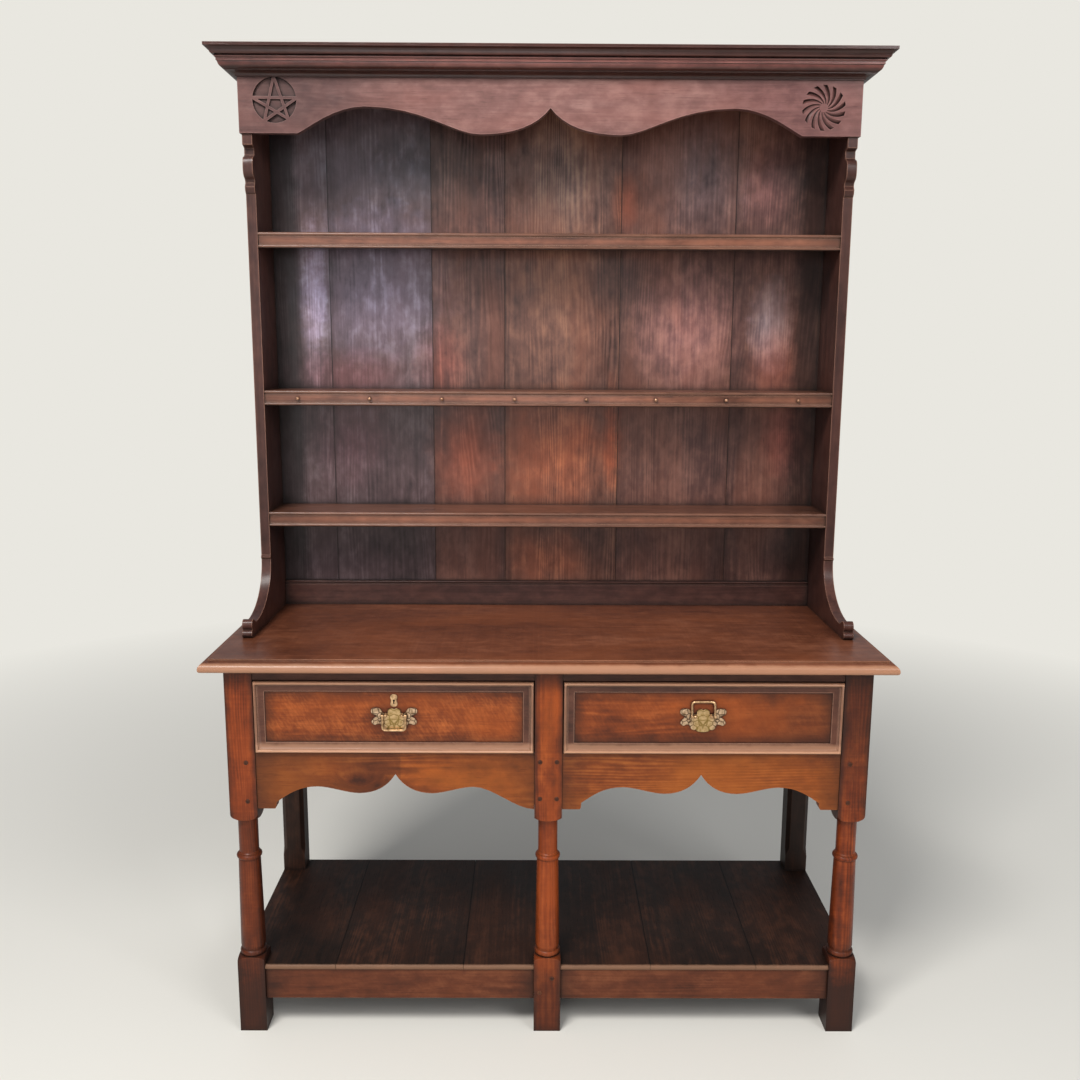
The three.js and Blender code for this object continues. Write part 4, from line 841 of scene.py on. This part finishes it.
# Patches of the back boards: painted bluish sheen and reflections, lighter orange patches, and a few darker
# ones
BACK_SHEEN_AND_PATCHES = (
    Glow((-0.54, 1.53), (0.03, 0.18), (3.6, 4.2, 4.7)),
    Glow((-0.40, 1.57), (0.18, 0.16), (2.3, 2.9, 3.8)),
    Glow((-0.46, 1.36), (0.14, 0.06), (1.6, 1.1, 1.1)),
    Glow((-0.25, 1.39), (0.06, 0.09), (2.0, 1.4, 1.3)),
    Glow((0.17, 1.75), (0.03, 0.07), (2.1, 1.4, 1.0)),
    Glow((0.32, 1.47), (0.12, 0.14), (2.1, 2.1, 2.4)),
    Glow((0.49, 1.78), (0.06, 0.09), (1.5, 1.4, 1.6)),
    Glow((0.52, 1.39), (0.06, 0.08), (1.5, 1.1, 1.0)),
    Glow((0.51, 1.48), (0.05, 0.10), (1.9, 3.0, 4.0)),
    Glow((-0.20, 1.19), (0.08, 0.12), (2.1, 1.4, 1.1)),
    Glow((0.03, 1.19), (0.14, 0.14), (2.2, 1.5, 1.0)),
    Glow((0.15, 1.23), (0.02, 0.14), (1.8, 1.2, 0.8)),
    Glow((0.36, 1.17), (0.11, 0.14), (0.8, 0.8, 0.85)),
    Glow((0.56, 1.22), (0.06, 0.10), (1.6, 1.1, 1.1)),
    Glow((-0.46, 1.21), (0.09, 0.11), (1.5, 1.2, 1.3)),
    Glow((0.00, 0.93), (0.09, 0.07), (2.2, 1.7, 1.3)),
    Glow((-0.50, 0.93), (0.14, 0.07), (0.8, 0.8, 0.85)),
    Glow((0.44, 0.93), (0.19, 0.07), (0.8, 0.8, 0.8)),
    Glow((-0.45, 1.82), (0.20, 0.11), (0.9, 1.2, 1.4)),
    Glow((-0.23, 1.82), (0.13, 0.11), (0.9, 1.2, 1.3)),
    Glow((0.34, 1.80), (0.12, 0.12), (1.1, 1.5, 1.9)),
    Glow((0.02, 1.80), (0.16, 0.12), (1.0, 1.4, 1.7)),
)


def dress_back():
    for number, (colours, rings) in enumerate(BACK_BOARDS, 1):
        node = f"back_board_{number}"
        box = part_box(node)
        shades = rims(box, "X", width=0.02, strength=0.25, tint=WAX_AND_SHADE)
        shades += rims(box, "X", width=0.003, strength=0.9, tint=SOOT_AND_SHADOW)
        shades.append(end_shade(box, HIGH, "Y", start=-0.003, full=-0.001, strength=0.85, tint=DUST))
        # Painted shadow of the rack's side on the first and the last board
        if number in BACK_SIDE_SHADOW:
            shades.append(Shade("X", *BACK_SIDE_SHADOW[number], SOOT_AND_SHADOW))
        # The painted sheen and patches that reach this board
        glows = [
            glow
            for glow in BACK_SHEEN_AND_PATCHES
            if glow.place[0] + glow.reach[0] > box[LOW].x and glow.place[0] - glow.reach[0] < box[HIGH].x
        ]
        dress_oak(
            node,
            colours,
            "z",
            number + 60,
            patches=0.4,
            rings=rings,
            wear=0.3,
            grime=0.9,
            roughness=0.38,
            coat=0.15,
            shades=shades,
            glows=glows,
        )


# The frieze is paler in the middle and darker at both ends
FRIEZE_GLOWS = (
    Glow((0.02, 1.94), (0.42, 0.12), (1.3, 1.45, 1.5)),
    Glow((-0.52, 1.93), (0.20, 0.16), (0.5, 0.55, 0.6)),
    Glow((0.52, 1.93), (0.20, 0.16), (0.8, 0.7, 0.75)),
)
CORNICE_DROP = 0.029  # from the top of the cornice down to its painted highlight
CORNICE_HIGHLIGHT = ((1.1, 0.009), (1.7, 1.6, 1.65))  # reach and lift of the painted highlight along the ovolo


def dress_rack():
    for number, name in enumerate(SIDES):
        dress_oak(f"rack_side_{name}", RACK, "z", number + 51, wear=0.9, roughness=0.38, coat=0.15)
    dress_oak("rack_bottom_rail", RACK, "x", 68, wear=0.2, grime=1.0, roughness=0.36, coat=0.15)
    dress_oak("rack_roof", RACK, "x", 69, patches=0.2, wear=0.2, grime=0.5, roughness=0.6, coat=0.0)
    dress_oak(
        "frieze",
        FRIEZE,
        "x",
        71,
        patches=0.5,
        wear=0.8,
        grime=1.0,
        roughness=0.4,
        coat=0.15,
        # Painted shade in the recesses of the carving
        shades=(end_shade(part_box("frieze"), LOW, "Y", start=0.0003, full=0.0012, strength=0.2, tint=SOOT_AND_SHADOW),),
        glows=FRIEZE_GLOWS,
    )
    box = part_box("cornice")
    dress_oak(
        "cornice",
        CORNICE,
        "x",
        72,
        patches=0.1,
        rings=0.2,
        wear=0.5,
        grime=1.0,
        roughness=0.26,
        coat=0.35,
        # Painted shade in the cove at the top and under the ovolo
        shades=(
            end_shade(box, HIGH, "Z", start=-0.021, full=-0.015, strength=0.6, tint=WAX_AND_SHADE),
            end_shade(box, HIGH, "Z", start=-0.037, full=-0.041, strength=0.6, tint=WAX_AND_SHADE),
        ),
        # A painted highlight along the ovolo
        glows=(Glow((0, box[HIGH].z - CORNICE_DROP), *CORNICE_HIGHLIGHT),),
    )


brass = metal("old_brass", tone(214, 176, 134), tone(120, 90, 60), 0.36)
chased_brass = metal("chased_brass", tone(214, 182, 150), tone(120, 92, 62), 0.38, chased=True)
dark_brass = metal("dark_brass", tone(206, 160, 130), tone(96, 62, 44), 0.42)
iron = metal("lock_iron", tone(120, 112, 100), tone(58, 50, 44), 0.5, patina=0.9)


def dress_brass():
    for name in SIDES:
        dress(f"{name}_handle_plate", chased_brass)
        for part in ("post_left", "post_right", "bail"):
            dress(f"{name}_handle_{part}", brass)
    dress("left_escutcheon", brass)


def new_mesh(name, shape):
    mesh = bpy.data.meshes.new(name)
    shape.to_mesh(mesh)
    shape.free()
    return mesh


def new_piece(name, mesh, material, body):
    piece = new_object(name, mesh)
    mesh.materials.append(material)
    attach(piece, body)
    return piece


def turned_mesh(name, profile, place, steps=20):
    """A round mesh whose axis runs to the front. profile is (radius, height) from the crown
    down, in metres."""
    shape = bmesh.new()
    x, y, z = place
    crown = shape.verts.new((x, y - profile[0][1], z))
    turns = [2 * math.pi * i / steps for i in range(steps)]
    rings = []
    for radius, height in profile[1:]:
        spots = [(x + radius * math.cos(a), y - height, z + radius * math.sin(a)) for a in turns]
        rings.append([shape.verts.new(spot) for spot in spots])
    for i in range(steps):
        after = (i + 1) % steps
        shape.faces.new((crown, rings[0][i], rings[0][after]))
        for inner, outer in zip(rings, rings[1:]):
            shape.faces.new((inner[i], outer[i], outer[after], inner[after]))
    shape.faces.new(rings[-1][::-1])
    bmesh.ops.recalc_face_normals(shape, faces=shape.faces)
    mesh = new_mesh(name, shape)
    mesh.shade_smooth()
    return mesh


# Ends of the pegs that hold the joints: x and z of each
PEGS = (
    (-0.611, 0.599),
    (-0.611, 0.516),
    (-0.017, 0.602),
    (0.017, 0.602),
    (-0.017, 0.523),
    (0.017, 0.523),
    (0.611, 0.599),
    (0.611, 0.516),
    (0.010, 0.122),
    (-0.016, 0.089),
)
PEG_RADIUS = 0.0048
# From the crown down: a share of the radius, and mm in front of the face
PEG_PROFILE = ((0, 1.1), (0.5, 1.0), (0.85, 0.7), (1.0, 0.1), (1.0, -1.0))


def add_pegs():
    reach = Vector((PEG_RADIUS, PEG_RADIUS, PEG_RADIUS))
    profile = [(share * PEG_RADIUS, height / 1000) for share, height in PEG_PROFILE]
    for number, (x, z) in enumerate(PEGS, 1):
        name = f"peg_{number:02d}"
        place = Vector((x, FRONT_FACE, z))
        material = oak(name, (place - reach, place + reach), PEG_WOOD, "y", number + 80, bump=0.5)
        peg = new_piece(name, turned_mesh(name, profile, place), material, "dresser")


STUD_X = (-0.552, -0.394, -0.235, -0.075, 0.083, 0.236, 0.391, 0.550)
STUD_INSET = 0.003  # the studs stand on the lip of the shelf, this far behind its foremost edge
STUD_DROP = 0.001  # below the middle of the shelf's height
# Radius, and height in front of the face, in mm from the crown down
STUD_PROFILE = (
    (0, 7.6),
    (1.6, 7.4),
    (3.2, 6.4),
    (3.9, 4.8),
    (3.4, 3.4),
    (2.2, 2.5),
    (1.9, 1.4),
    (3.1, 0.8),
    (3.4, 0.1),
    (3.4, -1.5),
)


def add_studs():
    low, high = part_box("shelf_middle")
    face = low.y + STUD_INSET
    height = (low.z + high.z) / 2 - STUD_DROP
    profile = [(radius / 1000, rise / 1000) for radius, rise in STUD_PROFILE]
    for number, x in enumerate(STUD_X, 1):
        name = f"shelf_stud_{number}"
        mesh = turned_mesh(name, profile, (x, face, height), steps=16)
        stud = new_piece(name, mesh, dark_brass, "dresser")


LOCK_CASE = Vector((0.030, 0.006, 0.022))  # half its width, its depth and half its height
LOCK_RISE = 0.030  # above the handle posts
LOCK_SKIN = 0.0005  # how far the iron stands out from the lock block
LOCK_EDGE = 0.0008  # the rounding of its edges


def add_lock_case():
    """Iron plates over the lock block behind the left drawer front."""
    posts = [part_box(f"left_handle_post_{side}") for side in SIDES]
    middle = (middle_of(posts[0]) + middle_of(posts[1])) / 2
    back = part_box("left_drawer_front")[HIGH].y
    size = Vector(
        (2 * (LOCK_CASE.x + LOCK_SKIN), LOCK_CASE.y + LOCK_SKIN, 2 * (LOCK_CASE.z + LOCK_SKIN))
    )
    place = Vector((middle.x, back + LOCK_SKIN - size.y / 2, middle.z + LOCK_RISE))
    shape = bmesh.new()
    bmesh.ops.create_cube(shape, size=1)
    bmesh.ops.scale(shape, vec=size, verts=shape.verts)
    bmesh.ops.translate(shape, vec=place, verts=shape.verts)
    bmesh.ops.bevel(shape, geom=shape.edges[:], offset=LOCK_EDGE, segments=2, affect="EDGES")
    case = new_piece("lock_case", new_mesh("lock_case", shape), iron, "left_drawer")


def half_plane(points, middle, away, offset):
    """Part of a convex outline that lies further than offset along away from middle."""
    kept = []
    for here, there in zip(points, points[1:] + points[:1]):
        depth_here = (here - middle).dot(away) - offset
        depth_there = (there - middle).dot(away) - offset
        if depth_here >= 0:
            kept.append(here)
        if depth_here * depth_there < 0:
            kept.append(here.lerp(there, depth_here / (depth_here - depth_there)))
    return kept


def outline_area(points):
    after = points[1:] + points[:1]
    return abs(sum(a.x * b.y - b.x * a.y for a, b in zip(points, after)) / 2)


def spoke(angle):
    return Vector((math.cos(angle), math.sin(angle)))


ROUNDEL_RADIUS = 0.0455
CUT_START = 0.002  # how far in front of the face each cutter starts

STAR_MIDDLE = Vector((-0.5743, 1.9312))
STAR_TURNS = (90, 174, 242, 307, 5)  # directions of its five points
STAR_REACH = 1.03  # of the points, as a share of the radius, so that the bands meet the ring
STAR_BAND = 0.0029  # half the width of a raised band
STAR_SIDES = 72  # of the ring
STAR_GROUND = 0.0056  # depth round the star
STAR_FIELD = 0.0036  # depth inside the points and the middle of the star
STAR_DRAFT = 0.0008
STAR_SLIVER = 0.00002  # fields with less area than this aren't cut

WHORL_MIDDLE = Vector((0.5698, 1.9218))
WHORL_ARMS = 14
WHORL_HUB = 0.0085
WHORL_STATIONS = 9
WHORL_START = 0.15  # radians
WHORL_SWEEP = 0.85  # radians that an arm turns from the hub to the rim
WHORL_CURVE = 0.8
WHORL_WIDTH = 0.34  # of an arm at its ends, as a share of the pitch
WHORL_SWELL = 0.3  # how much wider it gets between them
WHORL_SWELL_PART = (0.12, 0.88)  # the part of half a wave that its width follows
WHORL_DEPTHS = (0.0014, 0.0058)  # at the hub and at the rim
WHORL_LIP = 0.0004  # depth at the shallow side of an arm
WHORL_VALLEY = 0.22  # where an arm is deepest, as a share of its width


def sink(shape, outline, face, depth):
    """Adds a cutter: a prism with drafted walls that starts in front of the face."""
    middle = sum(outline, Vector((0, 0))) / len(outline)
    front = [shape.verts.new((p.x, face - CUT_START, p.y)) for p in outline]
    at_face = [shape.verts.new((p.x, face, p.y)) for p in outline]
    inner = [p + (middle - p).normalized() * STAR_DRAFT for p in outline]
    floor = [shape.verts.new((p.x, face + depth, p.y)) for p in inner]
    for upper, lower in ((front, at_face), (at_face, floor)):
        for i in range(len(outline)):
            j = (i + 1) % len(outline)
            shape.faces.new((upper[i], upper[j], lower[j], lower[i]))
    shape.faces.new(front[::-1])
    shape.faces.new(floor)


def star_cutter(shape, face):
    """A star of five raised bands in a roundel. Each choice of a side of every band leaves one
    field to cut, or none."""
    circle = [
        STAR_MIDDLE + ROUNDEL_RADIUS * spoke(2 * math.pi * i / STAR_SIDES) for i in range(STAR_SIDES)
    ]
    tips = [
        STAR_MIDDLE + ROUNDEL_RADIUS * STAR_REACH * spoke(math.radians(turn)) for turn in STAR_TURNS
    ]
    bands = []
    for i, start in enumerate(tips):
        along = (tips[(i + 2) % len(tips)] - start).normalized()
        bands.append((start, Vector((-along.y, along.x))))
    for choice in range(2 ** len(bands)):
        field = circle
        inner_sides = 0
        for i, (start, across) in enumerate(bands):
            away = across if choice >> i & 1 else -across
            field = half_plane(field, start, away, STAR_BAND)
            if (STAR_MIDDLE - start).dot(away) > 0:
                inner_sides += 1
        if outline_area(field) > STAR_SLIVER:
            in_star = inner_sides >= len(bands) - 1
            sink(shape, field, face, STAR_FIELD if in_star else STAR_GROUND)


def whorl_cutter(shape, face):
    """A rosette of curved arms that widen and deepen to the rim."""
    pitch = 2 * math.pi / WHORL_ARMS
    shallow, deep = WHORL_DEPTHS
    first, last = WHORL_SWELL_PART
    for arm in range(WHORL_ARMS):
        rows = []
        for i in range(WHORL_STATIONS):
            share = i / (WHORL_STATIONS - 1)
            radius = WHORL_HUB + (ROUNDEL_RADIUS - WHORL_HUB) * share
            turn = arm * pitch + WHORL_SWEEP * share**WHORL_CURVE + WHORL_START
            wave = math.sin(math.pi * (first + (last - first) * share))
            width = pitch * (WHORL_WIDTH + WHORL_SWELL * wave)
            depth = shallow + (deep - shallow) * share
            profile = ((0, -CUT_START), (1, -CUT_START), (1, WHORL_LIP), (WHORL_VALLEY, depth))
            row = []
            for side, sunk in profile:
                spot = WHORL_MIDDLE + radius * spoke(turn + width * side)
                row.append(shape.verts.new((spot.x, face + sunk, spot.y)))
            rows.append(row)
        for here, there in zip(rows, rows[1:]):
            for i in range(len(here)):
                j = (i + 1) % len(here)
                shape.faces.new((here[i], here[j], there[j], there[i]))
        shape.faces.new(rows[0][::-1])
        shape.faces.new(rows[-1])


def carve_frieze():
    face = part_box("frieze")[LOW].y
    for name, cutter in (("star", star_cutter), ("whorl", whorl_cutter)):
        shape = bmesh.new()
        cutter(shape, face)
        bmesh.ops.recalc_face_normals(shape, faces=shape.faces)
        tool = new_object(f"{name}_cutter", new_mesh(f"{name}_cutter", shape))
        tool.hide_render = True
        tool.hide_viewport = True
        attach(tool, "dresser")
        cut = nodes["frieze"].modifiers.new(f"{name}_carving", "BOOLEAN")
        cut.operation = "DIFFERENCE"
        cut.solver = "EXACT"
        cut.object = tool


PALE = tone(233, 231, 224)
FLOOR_REACH = 14.0
FLOOR_FADE = (1.3, 3.6)  # from the middle, where the lit floor turns into the plain backdrop
FLOOR_ROUGHNESS = 0.8


def add_stage():
    """A pale floor that fades into the pale backdrop, which only the camera sees."""
    half = FLOOR_REACH
    mesh = bpy.data.meshes.new("studio_floor")
    corners = [(-half, -half, 0), (half, -half, 0), (half, half, 0), (-half, half, 0)]
    mesh.from_pydata(corners, [], [(0, 1, 2, 3)])
    floor = new_object("studio_floor", mesh)
    material, t, shader = new_material("studio_floor")
    t.feed_all(shader, {"Base Color": PALE, "Roughness": FLOOR_ROUGHNESS})
    backdrop = t.add("ShaderNodeEmission", {"Color": PALE, "Strength": 1.0})
    far = t.span(t.vector("LENGTH", t.place()), *FLOOR_FADE)
    seen = t.add("ShaderNodeLightPath").outputs["Is Camera Ray"]
    shown = {0: t.math("MULTIPLY", far, seen), 1: shader.outputs[0], 2: backdrop.outputs[0]}
    surface = t.add("ShaderNodeMixShader", shown).outputs[0]
    t.feed(material.node_tree.nodes["Material Output"].inputs["Surface"], surface)
    mesh.materials.append(material)


SKY = (0.95, 0.97, 1.0, 1)
SKY_STRENGTH = 0.3
LAMP_TARGET = Vector((0, 0, 0.9))
Lamp = namedtuple("Lamp", "name place size power colour")
LAMPS = (
    Lamp("key", (-1.4, -2.6, 4.2), (1.6, 1.2), 172, (1.0, 0.98, 0.95)),
    Lamp("fill", (2.4, -3.2, 3.2), (1.8, 1.4), 56, (1, 1, 1)),
    Lamp("front", (-0.6, -4.2, 1.5), (2.4, 1.6), 30, (1, 1, 1)),
)


def add_light():
    world = bpy.data.worlds.new("studio")
    bpy.context.scene.world = world
    world.use_nodes = True
    t = Tree(world.node_tree)
    background = world.node_tree.nodes["Background"]
    seen = t.add("ShaderNodeLightPath").outputs["Is Camera Ray"]
    t.feed(background.inputs["Color"], t.mix(seen, SKY, PALE))
    t.feed(background.inputs["Strength"], t.span(seen, 0.0, 1.0, SKY_STRENGTH, 1.0))
    for lamp in LAMPS:
        data = bpy.data.lights.new(lamp.name, "AREA")
        data.shape = "RECTANGLE"
        data.size, data.size_y = lamp.size
        data.energy = lamp.power
        data.color = lamp.colour
        aim = (LAMP_TARGET - Vector(lamp.place)).to_track_quat("-Z", "Y")
        turn = aim.to_matrix().to_4x4()
        new_object(lamp.name, data).matrix_world = Matrix.Translation(lamp.place) @ turn


def add_camera():
    forward = Vector(
        (
            math.sin(CAMERA_YAW) * math.cos(CAMERA_PITCH),
            math.cos(CAMERA_YAW) * math.cos(CAMERA_PITCH),
            -math.sin(CAMERA_PITCH),
        )
    )
    right = Vector((math.cos(CAMERA_YAW), -math.sin(CAMERA_YAW), 0))
    up = right.cross(forward)
    rolled_right = math.cos(CAMERA_ROLL) * right + math.sin(CAMERA_ROLL) * up
    rolled_up = math.cos(CAMERA_ROLL) * up - math.sin(CAMERA_ROLL) * right
    turn = Matrix((rolled_right, rolled_up, -forward)).transposed()
    data = bpy.data.cameras.new("photo_camera")
    data.lens = CAMERA_LENS
    data.sensor_width = CAMERA_FRAME
    data.clip_start = CAMERA_NEAR
    camera = new_object("photo_camera", data)
    camera.matrix_world = Matrix.Translation(CAMERA_PLACE) @ turn.to_4x4()
    bpy.context.scene.camera = camera


dress_front_posts()
dress_aprons()
dress_frame()
dress_boards()
dress_drawers()
carve_frieze()
dress_shelves()
dress_back()
dress_rack()
dress_brass()
add_pegs()
add_studs()
add_lock_case()
add_stage()
add_light()
add_camera()
bpy.context.scene.view_settings.view_transform = "Standard"
